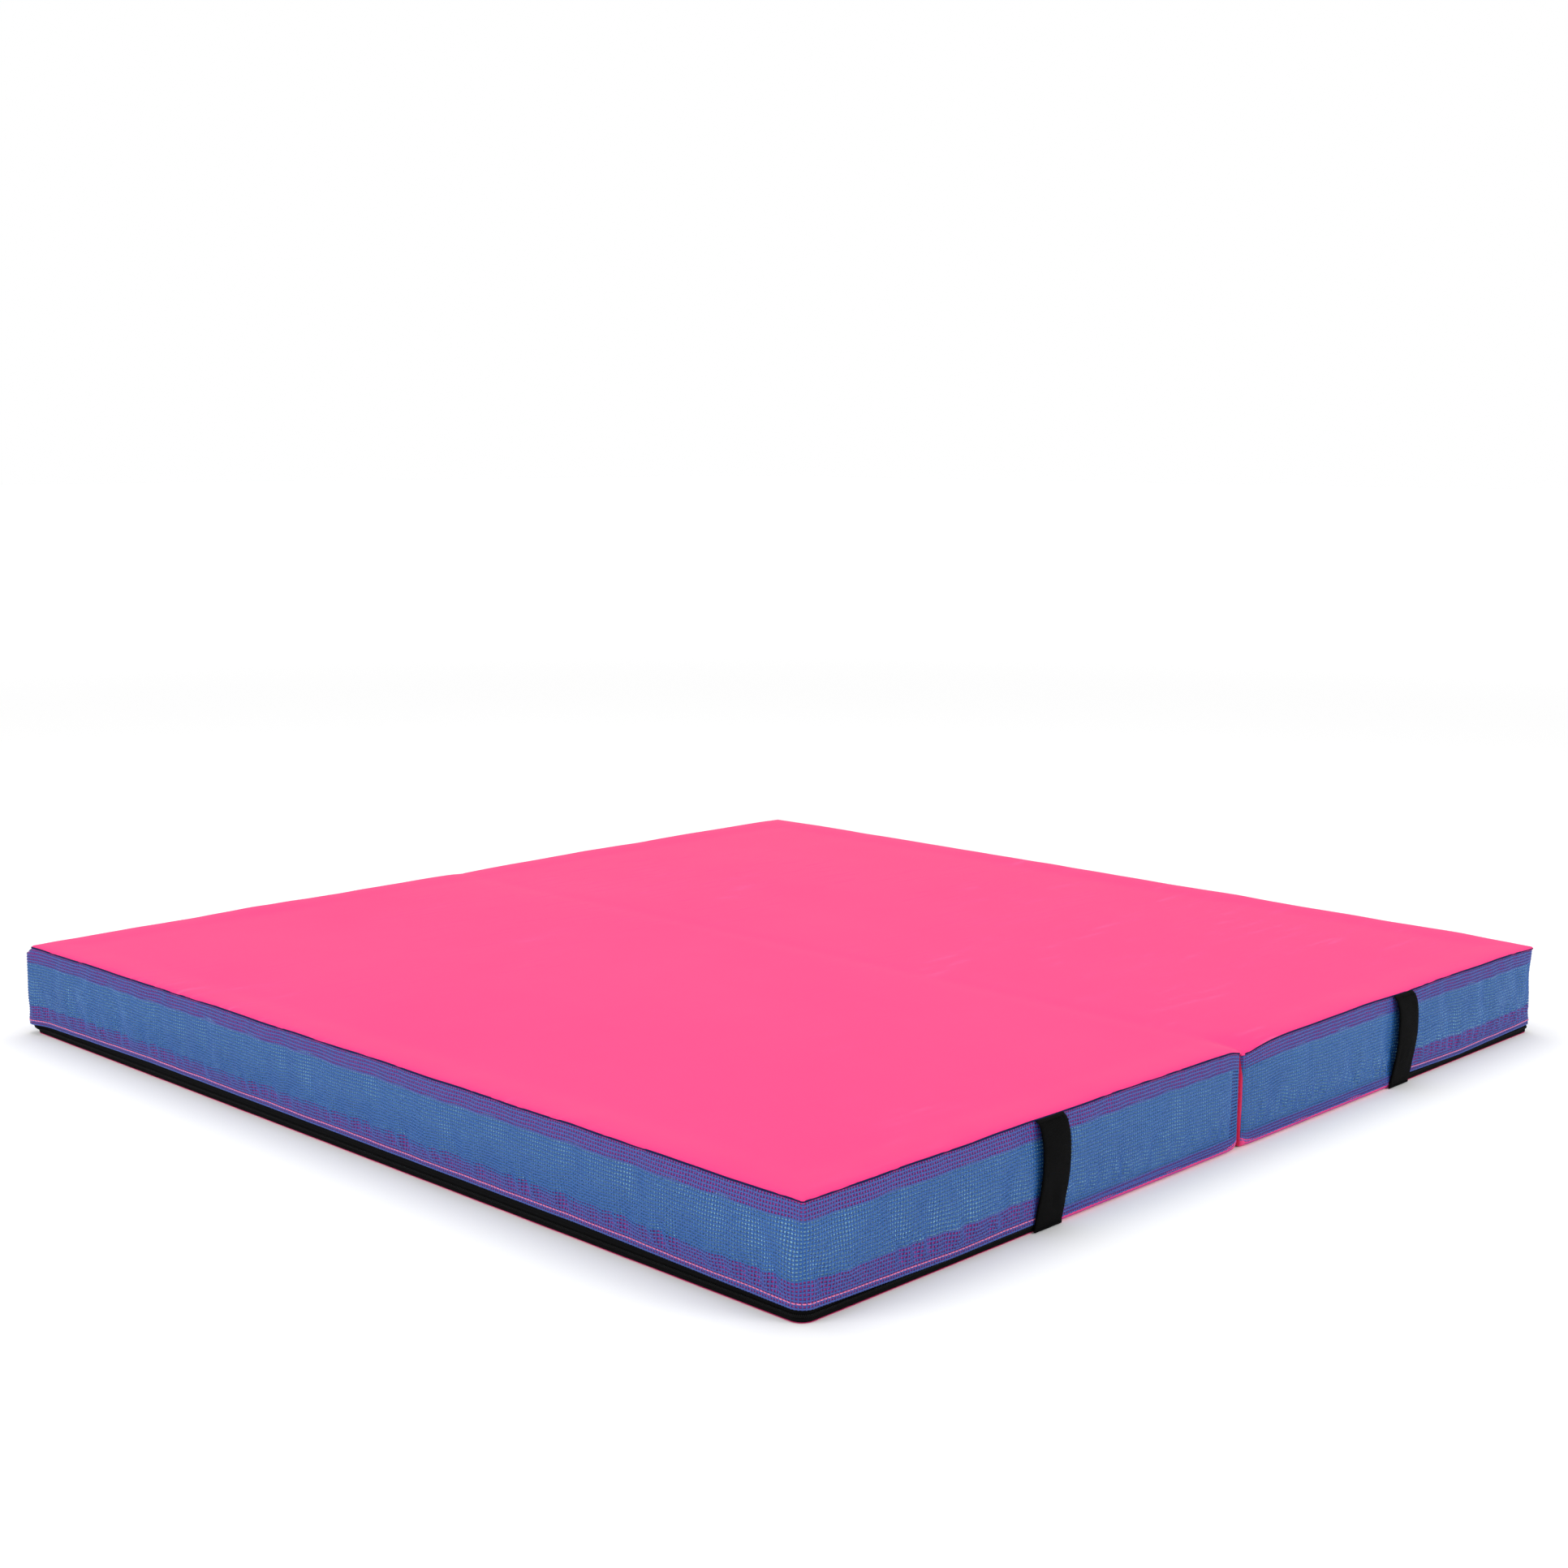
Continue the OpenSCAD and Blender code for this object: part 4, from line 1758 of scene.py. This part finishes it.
@dataclass
class SideMesh:
    """The woven mesh of one side wall, with every yarn laid over and under the others."""

    sizes: MatSizes
    form: HalfForm
    finishes: Finishes
    pitch: float = 3.1 * MM
    row_count: int = 31
    weft_half: float = 0.9 * MM
    warp_half: float = 0.7 * MM
    crimp: float = 0.26 * MM
    roundness: float = 0.42 * MM
    hem_z: float = 10.3 * MM
    plain_z: float = 4.2 * MM

    def stretches(self) -> list[Stretch]:
        """The wall's stretches, cut below the straps and at the corners.

        Returns:
            The stretches, in order from the fold's near end.
        """
        form = self.form
        strap = self.sizes.strap_x - self.sizes.fold_x
        corner = form.end_run - 20 * MM
        whole = form.run
        return [
            Stretch("near_inner", -form.wrap, strap, self.plain_z),
            Stretch("near_outer", strap, corner, self.hem_z),
            Stretch("side_near", corner, whole / 2, self.hem_z),
            Stretch("side_far", whole / 2, whole - corner, self.hem_z),
            Stretch("far_outer", whole - corner, whole - strap, self.hem_z),
            Stretch("far_inner", whole - strap, whole + form.wrap, self.plain_z),
        ]

    def weave(self, stretch: Stretch) -> tuple[Array, Array, Array]:
        """Lays the yarns of one stretch.

        Args:
            stretch: The stretch.

        Returns:
            Points, quads and texture coordinates.
        """
        form = self.form
        rows = (np.arange(self.row_count) + 0.5) / self.row_count
        rows = rows[rows * self.sizes.thickness > stretch.low + 0.6 * self.weft_half]
        whole_count = round(form.run / self.pitch)
        step = form.run / whole_count
        first, last = round(stretch.start / step), round(stretch.stop / step)
        parity = first + self.row_count - len(rows)
        places = (np.arange(2 * (last - first) + 1) / 2 + first) * step
        across = np.array([-1.0, 0.0, 1.0])
        parts, quads, uvs, start = [], [], [], 0

        crossing = np.arange(len(places))
        for number, share in enumerate(rows):
            over = np.where((crossing // 2 + number + parity) % 2, 1.0, -1.0)
            up_down = np.where(crossing % 2 == 1, over, 0.0)
            centre, out = form.point(places, np.full_like(places, share), up_down * self.crimp)
            points = self.ribbon(centre, out, np.array([0.0, 0.0, 1.0]), self.weft_half, across)
            parts.append(points.reshape(-1, 3))
            quads.append(grid_quads(len(places), 3, start, flip=form.flip)[:, ::-1])
            uv = np.broadcast_arrays(places[:, None], across * self.weft_half)
            uvs.append(np.stack(uv, axis=-1).reshape(-1, 2))
            start += len(places) * 3

        low_share = stretch.low / self.sizes.thickness
        ends = np.concatenate([[low_share], (rows[:-1] + rows[1:]) / 2, [0.992]])
        shares = np.empty(2 * len(rows) + 1)
        shares[0::2], shares[1::2] = ends, rows
        order = np.arange(len(shares))
        for number in range(last - first):
            place = (first + number + 0.5) * step
            over = np.where((order // 2 + number + parity) % 2, -1.0, 1.0)
            up_down = np.where(order % 2 == 1, over, 0.0)
            centre, out = form.point(np.full_like(shares, place), shares, up_down * self.crimp)
            side = np.stack([-out[:, 1], out[:, 0], np.zeros(len(out))], axis=-1)
            points = self.ribbon(centre, out, side, self.warp_half, across)
            parts.append(points.reshape(-1, 3))
            quads.append(grid_quads(len(shares), 3, start, flip=False))
            uv = np.broadcast_arrays(shares[:, None] * 0.1, across * self.warp_half)
            uvs.append(np.stack(uv, axis=-1).reshape(-1, 2))
            start += len(shares) * 3
        return np.concatenate(parts), np.concatenate(quads), np.concatenate(uvs)

    def ribbon(self, centre: Array, out: Array, side: Array, half_width: float, across: Array) -> Array:
        """Points of one flat yarn with a rounded face.

        Args:
            centre: Places along the yarn's middle.
            out: Directions out of the cloth.
            side: Direction across the yarn.
            half_width: Half the yarn's width.
            across: Where the points lie across it, from -1 to 1.

        Returns:
            The points, (place, across, 3).
        """
        width = across * half_width
        height = (1 - np.abs(across)) * self.roundness
        side = np.broadcast_to(side, centre.shape)
        return centre[:, None] + side[:, None] * width[None, :, None] + out[:, None] * height[None, :, None]

    def build(self) -> list[bpy.types.Object]:
        """Makes the mesh in its stretches.

        Returns:
            The pieces.
        """
        half = self.form.half
        pieces = []
        for stretch in self.stretches():
            points, quads, uv = self.weave(stretch)
            piece = make_piece(half.node(f"side_mesh_{stretch.name}"), points, quads, uv=uv)
            zipped = stretch.low == self.hem_z
            yarn = self.finishes.zipped_yarn if zipped else self.finishes.plain_yarn
            flat = (stretch.stop - stretch.start, self.sizes.thickness - stretch.low)
            pieces.append(mount(piece, half, yarn, "mesh_wall", flat))
        return pieces


@dataclass
class WallStrip:
    """A strip laid along a side wall between two heights.

    Attributes:
        form: The side wall's form.
        name: The piece's name without its half.
        start: Where it starts along the wall.
        stop: Where it stops.
        low: Height of its lower edge.
        high: Height of its upper edge, or how far below the top seam if it is negative.
        out: How far it stands out from the mesh.
        rows: Number of rows of points.
        step: Distance between its columns.
        wander: How far its free edges wander up and down.
    """

    form: HalfForm
    name: str
    start: float
    stop: float
    low: float
    high: float
    out: float
    rows: int = 6
    step: float = 4 * MM
    wander: float = 0.5 * MM

    def build(self) -> bpy.types.Object:
        """Makes the strip.

        Returns:
            The piece, not mounted yet.
        """
        form = self.form
        along = form.stations(self.start, self.stop, self.step)
        seam = form.seam(along)
        uneven = Ripple(len(self.name) + 3 * form.half.value + 9, 55 * MM, self.wander)(along)
        low = self.low if self.low >= 0 else seam + self.low + uneven
        high = seam + self.high if self.high <= 0 else self.high + uneven
        across = np.linspace(0, 1, self.rows)[:, None]
        z = low + (high - low) * across
        place, _ = form.at_height(along[None, :] * np.ones_like(z), z, self.out)
        uv = np.stack([along[None, :] * np.ones_like(z), z], axis=-1)
        quads = grid_quads(self.rows, len(along), flip=form.flip)
        return make_piece(form.half.node(self.name), place.reshape(-1, 3), quads, uv=uv.reshape(-1, 2))


@dataclass
class Facings:
    """The coated strips behind the mesh, along its top and bottom seams."""

    sizes: MatSizes
    form: HalfForm
    finishes: Finishes
    depth: float = 0.6 * MM
    top_height: float = 17 * MM
    zipped_low: float = 10.9 * MM
    zipped_top: float = 33 * MM
    plain_low: float = 1.5 * MM
    plain_top: float = 14 * MM

    def build(self) -> list[bpy.types.Object]:
        """Makes the strips.

        Returns:
            The pieces.
        """
        form, strap = self.form, self.sizes.strap_x - self.sizes.fold_x
        start, stop = -form.wrap, form.run + form.wrap
        zipped = (self.zipped_low, self.zipped_top)
        plain = (self.plain_low, self.plain_top)
        pieces = []
        for name, node, first, last, heights in (
            ("top_facing_strip", "top_facing", start, stop, (-self.top_height, -0.6 * MM)),
            ("zip_facing_strip", "bottom_facing", strap, form.run - strap, zipped),
            ("near_facing_strip", "bottom_facing", start, strap, plain),
            ("far_facing_strip", "bottom_facing", form.run - strap, stop, plain),
        ):
            strip = WallStrip(form, name, first, last, *heights, -self.depth)
            flat = (strip.stop - strip.start, abs(strip.high - strip.low))
            pieces.append(mount(strip.build(), form.half, self.finishes.facing, node, flat))
        return pieces


@dataclass
class SeamRoll:
    """The mesh's edge, rolled under at the top seam, coloured a near-black navy that is painted shade under
    the top sheet's edge.
    """

    form: HalfForm
    finishes: Finishes
    radius: float = 0.95 * MM
    drop: float = 1.3 * MM
    sides: int = 6

    def build(self) -> bpy.types.Object:
        """Makes the rolled edge.

        Returns:
            The piece.
        """
        form = self.form
        along = form.stations(-form.wrap, form.run + form.wrap, 4 * MM)
        centre, out = form.at_height(along, form.seam(along) - self.drop, 0.25 * MM)
        up = np.broadcast_to(np.array([0.0, 0.0, 1.0]), out.shape)
        size = np.full((len(along), 2), self.radius)
        points, quads, caps = tubes(centre[None], up[None], out[None], size, self.sides, form.flip)
        roll = make_piece(form.half.node("mesh_top_roll"), points, quads, caps=caps)
        return mount(roll, form.half, self.finishes.yarn_fold)


@dataclass
class HemTopstitch:
    """The line of thread above the zip, one stitch after the other."""

    sizes: MatSizes
    form: HalfForm
    finishes: Finishes
    height: float = 15.5 * MM
    pitch: float = 4.2 * MM
    length: float = 3.8 * MM
    radius: float = 0.55 * MM
    sides: int = 6

    def build(self) -> bpy.types.Object:
        """Makes the stitches.

        Returns:
            The piece.
        """
        form = self.form
        strap = self.sizes.strap_x - self.sizes.fold_x
        start, stop = strap + 8 * MM, form.run - strap - 8 * MM
        middles = np.arange(start, stop, self.pitch)
        stations = np.array([-0.5, -0.38, 0.0, 0.38, 0.5])
        along = middles[:, None] + stations * self.length
        wander = Ripple(201 + form.half.value, 160 * MM, 0.25 * MM)(along)
        z = self.height + wander + 0.15 * MM * stations
        depth = np.array([-0.35, 0.25, 0.5, 0.25, -0.35]) * MM
        centre, out = form.at_height(along, z, depth)
        up = np.broadcast_to(np.array([0.0, 0.0, 1.0]), out.shape)
        sizes = np.array([0.45, 0.9, 1.0, 0.9, 0.45])[:, None] * np.full(2, self.radius)
        points, quads, caps = tubes(centre, up, out, sizes, self.sides, form.flip)
        piece = make_piece(form.half.node("hem_topstitch"), points, quads, caps=caps)
        return mount(piece, form.half, self.finishes.topstitch, "hem_stitching")


@dataclass
class Zip:
    """The zip round one half: two tapes and two rows of coil.

    Attributes:
        middle: Height of the chain's middle.
        pitch: Distance between two turns of a coil.
        tooth_radius: Half the coil's thickness.
        tape_out: How far the tapes' face stands out from the mesh.
        thickness: Thickness of the tapes.
        upper_section: Depth and height of the upper tape's points in mm, bottom to top.
        lower_section: The same of the lower tape.
    """

    sizes: MatSizes
    form: HalfForm
    finishes: Finishes
    middle: float = 5.8 * MM
    pitch: float = 1.6 * MM
    tooth_radius: float = 0.5 * MM
    tape_out: float = -1.5 * MM
    thickness: float = 0.5 * MM
    upper_section: tuple[tuple[float, float], ...] = (
        (0.0, 6.1), (0.0, 8.0), (0.0, 10.2), (0.1, 10.9), (0.1, 14.0), (0.1, 17.6),
    )
    lower_section: tuple[tuple[float, float], ...] = (
        (7.2, 0.6), (4.0, 0.6), (1.2, 0.6), (0.1, 0.65),
        (-0.7, 1.2), (-0.5, 2.6), (0.0, 4.2), (0.0, 5.5),
    )

    @property
    def span(self) -> tuple[float, float]:
        """Where the zip starts and stops along the wall, below the straps."""
        strap = self.sizes.strap_x - self.sizes.fold_x
        return strap - 8 * MM, self.form.run - strap + 8 * MM

    def tape(self, name: str, profile: Sequence[tuple[float, float]]) -> bpy.types.Object:
        """Makes one tape from its section.

        Args:
            name: The tape's name without its half.
            profile: Depth behind the tape's face and height of the section's points, bottom to top, in mm.

        Returns:
            The piece.
        """
        form, (start, stop) = self.form, self.span
        along = form.stations(start, stop, 4 * MM)
        rows, uvs, walked, last = [], [], 0.0, profile[0]
        for depth, z in profile:
            walked += math.dist(last, (depth, z)) * MM
            last = (depth, z)
            row, _ = form.at_height(along, np.full_like(along, z * MM), self.tape_out - depth * MM)
            rows.append(row)
            uvs.append(np.stack([along, np.full_like(along, walked)], axis=-1))
        points, uv = np.concatenate(rows), np.concatenate(uvs)
        quads = grid_quads(len(profile), len(along), flip=form.flip)
        piece = make_piece(form.half.node(name), points, quads, uv=uv)
        thicken(piece, self.thickness)
        return mount(piece, form.half, self.finishes.tape, f"zip_{name}", (stop - start, walked))

    def tapes(self) -> list[bpy.types.Object]:
        """Makes the upper tape, sewn up behind the hem, and the lower one, turned in under the foam.

        Returns:
            The pieces.
        """
        return [self.tape("upper_tape", self.upper_section), self.tape("lower_tape", self.lower_section)]

    def coil(self, level: int) -> bpy.types.Object:
        """Makes one row of coil.

        Args:
            level: 1 for the upper row and -1 for the lower one.

        Returns:
            The piece.
        """
        form, (start, stop) = self.form, self.span
        middles = np.arange(start, stop, self.pitch) + (self.pitch / 4) * (1 + level)
        stations = np.array([-0.55, -0.2, 0.5, 1.2, 1.75]) * MM
        lean = 0.12 * MM * np.array([-1, -0.5, 0, 0.5, 1])
        along = middles[:, None] + lean
        z = self.middle + level * stations * np.ones_like(along)
        depth = self.tape_out + np.array([0.55, 0.95, 1.1, 0.8, 0.15]) * MM
        centre, out = form.at_height(along, z, depth)
        side = np.stack([-out[..., 1], out[..., 0], np.zeros(out.shape[:2])], axis=-1)
        sizes = np.array([[0.5, 0.6], [0.95, 0.9], [1.0, 1.0], [0.95, 0.9], [0.6, 0.6]]) * self.tooth_radius
        points, quads, caps = tubes(centre, side, out, sizes, 6, level < 0)
        name = "upper_coil" if level > 0 else "lower_coil"
        piece = make_piece(form.half.node(name), points, quads, caps=caps)
        return mount(piece, form.half, self.finishes.coil, f"zip_{name}")

    def build(self) -> list[bpy.types.Object]:
        """Makes the tapes and the coils.

        Returns:
            The pieces.
        """
        return [*self.tapes(), self.coil(1), self.coil(-1)]


@dataclass
class SliderSet:
    """The slider and the pull of one half, with their edges softened."""

    half: Half
    finishes: Finishes
    bevel: float = 0.35 * MM

    def soften(self, node: str, name: str) -> bpy.types.Object:
        """Copies a CAD node into a new piece with rounded edges.

        Args:
            node: The CAD node, which is also the name of its body.
            name: Name of the new piece.

        Returns:
            The piece.
        """
        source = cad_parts[node]
        piece = bpy.data.objects.new(name, source.data.copy())
        bpy.context.scene.collection.objects.link(piece)
        piece.matrix_world = source.matrix_world.copy()
        weld = piece.modifiers.new("weld", "WELD")
        weld.merge_threshold = 0.01 * MM
        soft = piece.modifiers.new("soft_edges", "BEVEL")
        soft.width = self.bevel
        soft.segments = 3
        soft.limit_method = "ANGLE"
        soft.angle_limit = math.radians(35)
        apply_modifiers(piece)
        piece.data.transform(piece.matrix_world)
        piece.matrix_world = Matrix.Identity(4)
        piece.data.polygons.foreach_set("use_smooth", np.full(len(piece.data.polygons), True))
        dress(piece, self.finishes.slider)
        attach(piece, node)
        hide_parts(node)
        return piece

    def build(self) -> list[bpy.types.Object]:
        """Makes the slider and its pull.

        Returns:
            The pieces.
        """
        half = self.half
        return [
            self.soften(half.node("zip_slider"), half.node("slider_body")),
            self.soften(half.node("zip_pull"), half.node("slider_tab")),
        ]


@dataclass
class Strap:
    """A webbing strap across an end wall, bowed out between its sewn ends."""

    sizes: MatSizes
    form: HalfForm
    end: MatEnd
    finishes: Finishes
    thickness: float = 1.9 * MM
    sewn: float = 4 * MM
    fullest: float = 0.72
    columns: int = 11
    rows: int = 46

    @property
    def middle(self) -> float:
        """Where the strap's middle is along the wall."""
        way = self.sizes.strap_x - self.sizes.fold_x
        return way if self.end is MatEnd.NEAR else self.form.run - way

    @property
    def node(self) -> str:
        """Name of the strap's CAD node, without its half."""
        return f"{self.end.name.lower()}_strap"

    @property
    def name(self) -> str:
        """The strap's name with its half."""
        return self.form.half.node(self.node)

    def bow(self, z: Array, top: float) -> Array:
        """How far the strap stands off at each height.

        Args:
            z: The heights.
            top: Height of the strap's upper end.

        Returns:
            The distances.
        """
        bow = self.sizes.strap_out - self.thickness
        full = self.fullest * top
        low, high = self.sewn, top - 0.4 * self.sewn
        above = np.clip((z - full) / (high - full), 0, 1)
        below = np.clip((full - z) / (full - low), 0, 1)
        return bow * np.where(z > full, np.sqrt(np.clip(1 - above**2, 0, 1)) ** 0.9, 1 - below**2)

    def surface(self, across: Array, z: Array, lift: float) -> Array:
        """Places on the strap.

        Args:
            across: Distances across the strap from its middle.
            z: Heights.
            lift: How far out of the strap's back.

        Returns:
            The places.
        """
        form = self.form
        along = self.middle + across * (1 if self.end is MatEnd.NEAR else -1)
        top = form.seam(np.array([self.middle]))[0]
        cup = -0.5 * MM * (across / (self.sizes.strap_width / 2)) ** 2 * np.sin(math.pi * z / top)
        curl = Ripple(301 + 7 * form.half.value + self.end.value, 60 * MM, 0.35 * MM, 0.4)(z, across)
        stand = self.bow(z, top) + cup + curl * np.sin(math.pi * z / top) + lift
        x, y, nx, ny = form.outline(along, z / top)
        off = np.maximum(form.swell(along, z / top), 0.0) * 0.35 + 0.7 * MM + stand
        side = form.half.value
        return np.stack([side * (x + nx * off), y + ny * off, z], axis=-1)

    def build(self) -> bpy.types.Object:
        """Makes the strap.

        Returns:
            The piece.
        """
        width = self.sizes.strap_width
        top = self.form.seam(np.array([self.middle]))[0]
        line = np.linspace(0, 1, self.rows)
        z = 0.5 * MM + (top - 1.4 * MM) * (line + 0.035 * np.sin(2 * math.pi * line))
        across = np.linspace(-width / 2, width / 2, self.columns)
        edge = 0.5 * MM
        face = [across[0] + edge, *across[1:-1], across[-1] - edge]
        section = [(-width / 2, self.thickness / 2), *((a, self.thickness) for a in face)]
        section += [(width / 2, self.thickness / 2)]
        section += [(a, 0.0) for a in (across[-1] - edge, *across[-2:0:-1], across[0] + edge)]
        points = np.stack([self.surface(np.full_like(z, a), z, lift) for a, lift in section], axis=1)
        count = len(section)
        flip = (self.form.half is Half.A) != (self.end is MatEnd.FAR)
        quads = grid_quads(self.rows, count, closed=True, flip=flip)
        ring = np.arange(count)
        caps = [ring[::-1], ring + (self.rows - 1) * count]
        caps = [cap[::-1] for cap in caps] if flip else caps
        widths = np.array([a for a, _ in section])
        uv = np.stack(np.broadcast_arrays(widths[None, :], z[:, None]), axis=-1)
        piece = make_piece(
            f"{self.name}_webbing", points.reshape(-1, 3), quads, caps=caps, uv=uv.reshape(-1, 2)
        )
        flat = (width, top + 6 * MM)
        return mount(piece, self.form.half, self.finishes.webbing, self.node, flat)


@dataclass
class BarTacks:
    """Zigzag stitches across both ends of one strap."""

    strap: Strap
    finishes: Finishes
    width: float = 31 * MM
    height: float = 2.6 * MM
    strokes: int = 44
    radius: float = 0.2 * MM

    def build(self) -> bpy.types.Object:
        """Makes the two bar tacks.

        Returns:
            The piece.
        """
        strap = self.strap
        top = strap.form.seam(np.array([strap.middle]))[0]
        turns = np.arange(self.strokes)
        begin = (turns / self.strokes - 0.5) * self.width
        end = ((turns + 1) / self.strokes - 0.5) * self.width
        share = np.array([0.0, 0.3, 0.7, 1.0])
        across = begin[:, None] + (end - begin)[:, None] * share
        zigzag = np.where(turns[:, None] % 2 == 0, share, 1 - share) - 0.5
        stations, lifts = [], np.array([-0.15, 0.1, 0.1, -0.15]) * MM
        for level in (2.6 * MM, top - 2.9 * MM):
            z = level + zigzag * self.height
            line = [strap.surface(across[:, k], z[:, k], strap.thickness + lifts[k]) for k in range(4)]
            stations.append(np.stack(line, axis=1))
        centres = np.concatenate(stations)
        out = np.broadcast_to(np.array([0.0, float(strap.end.value), 0.0]), centres.shape)
        way = centres[:, -1:] - centres[:, :1]
        across_way = np.cross(np.broadcast_to(way, centres.shape), out)
        across_way /= np.linalg.norm(across_way, axis=-1)[..., None]
        sizes = np.full((4, 2), self.radius)
        points, quads, caps = tubes(centres, across_way, out, sizes, 5, strap.form.flip)
        piece = make_piece(f"{strap.name}_tacks", points, quads, caps=caps)
        return mount(piece, strap.form.half, self.finishes.tack, "strap_tacks")


# ------------------------------------------------------------
# Studio
# ------------------------------------------------------------


@dataclass(frozen=True)
class Studio:
    """Camera, pale floor and soft lights."""

    camera_at: tuple[float, float, float] = (-1.749, -1.695, 0.661)
    heading: float = 45.83
    tilt: float = -8.79
    roll: float = 0.2
    lens: float = 50.7

    def camera(self) -> None:
        """Places the camera."""
        data = bpy.data.cameras.new("camera")
        data.lens, data.sensor_width = self.lens, 36.0
        data.clip_start, data.clip_end = 0.05, 60.0
        camera = bpy.data.objects.new("camera", data)
        bpy.context.scene.collection.objects.link(camera)
        turn = Matrix.Rotation(math.radians(-self.heading), 4, "Z")
        turn = turn @ Matrix.Rotation(math.radians(90 + self.tilt), 4, "X")
        turn = turn @ Matrix.Rotation(math.radians(self.roll), 4, "Z")
        camera.matrix_world = Matrix.Translation(self.camera_at) @ turn
        bpy.context.scene.camera = camera

    def floor(self) -> None:
        """Makes the pale floor."""
        steps = np.linspace(-30, 30, 7)
        x, y = np.meshgrid(steps, steps)
        points = np.stack([x, y, np.full_like(x, -0.0004)], axis=-1).reshape(-1, 3)
        floor = make_piece("studio_floor", points, grid_quads(7, 7))
        material = bpy.data.materials.new("floor_paint")
        material.use_nodes = True
        g = Graph(material.node_tree)
        shader = material.node_tree.nodes["Principled BSDF"]
        place = g.node("ShaderNodeTexCoord").outputs["Object"]
        tone = g.noise(place, 1.5, 2.0)
        paint = g.blend(g.times(tone, 0.1), (0.93, 0.93, 0.93), (0.9, 0.9, 0.9))
        g.feed(shader.inputs["Base Color"], paint)
        away = g.node("ShaderNodeVectorMath", operation="LENGTH")
        g.feed(away.inputs[0], place)
        far = g.span(away.outputs["Value"], 1.4, 5.5, 0.0, 1.0)
        g.feed(shader.inputs["Emission Color"], g.blend(far, (0.0, 0.0, 0.0), (0.34, 0.34, 0.34)))
        shader.inputs["Emission Strength"].default_value = 1.0
        shader.inputs["Roughness"].default_value = 0.9
        shader.inputs["Specular IOR Level"].default_value = 0.1
        floor.data.materials.append(material)

    def light(self, name: str, at: tuple[float, float, float], size: float, power: float) -> None:
        """Adds a soft light that looks at the mat.

        Args:
            name: The light's name.
            at: Where it is.
            size: Diameter of its disk.
            power: Its power in watts.
        """
        data = bpy.data.lights.new(name, "AREA")
        data.shape, data.size, data.energy = "DISK", size, power
        lamp = bpy.data.objects.new(name, data)
        bpy.context.scene.collection.objects.link(lamp)
        look = Vector((0, 0, 0.05)) - Vector(at)
        lamp.matrix_world = Matrix.Translation(at) @ look.to_track_quat("-Z", "Y").to_matrix().to_4x4()

    def build(self) -> None:
        """Makes the whole studio."""
        self.camera()
        self.floor()
        self.light("overhead_light", (0.2, 0.4, 3.2), 3.0, 46.0)
        self.light("left_light", (-3.1, 0.5, 1.45), 1.8, 36.0)
        self.light("right_light", (0.8, -3.3, 1.6), 1.8, 40.0)
        world = bpy.data.worlds.new("studio_world")
        bpy.context.scene.world = world
        world.use_nodes = True
        g = Graph(world.node_tree)
        seen = g.node("ShaderNodeLightPath").outputs["Is Camera Ray"]
        sky = world.node_tree.nodes["Background"]
        sky.inputs["Color"].default_value = (1.0, 1.0, 1.0, 1.0)
        g.feed(sky.inputs["Strength"], g.span(seen, 0.0, 1.0, 0.72, 1.0))
        bpy.context.scene.view_settings.view_transform = "Standard"


def main() -> None:
    """Builds the mat in order, and reports each piece."""
    logging.basicConfig(level=logging.INFO, format="%(name)s: %(message)s")
    Studio().build()
    finishes = Finishes()
    sizes = MatSizes.from_frame()
    forms = {half: sizes.form(half) for half in Half}
    forms = {half: replace(form, creases=WallCloth(form).run()) for half, form in forms.items()}
    pieces: list[bpy.types.Object] = []
    for half, form in forms.items():
        pieces.append(FoamBlock(sizes, form, finishes).build())
        pieces.append(BottomSheet(sizes, form, finishes).build())
        pieces.append(FoldWall(sizes, form, finishes).build())
        pieces += SideMesh(sizes, form, finishes).build()
        pieces += Facings(sizes, form, finishes).build()
        pieces.append(SeamRoll(form, finishes).build())
        pieces.append(HemTopstitch(sizes, form, finishes).build())
        pieces += Zip(sizes, form, finishes).build()
        pieces += SliderSet(half, finishes).build()
        for end in MatEnd:
            strap = Strap(sizes, form, end, finishes)
            pieces.append(strap.build())
            pieces.append(BarTacks(strap, finishes).build())
    pieces.append(TopSheet(sizes, forms, finishes).build())
    for piece in pieces:
        log.info("%s: %d faces", piece.name, len(piece.data.polygons))


if __name__ == "__main__":
    main()
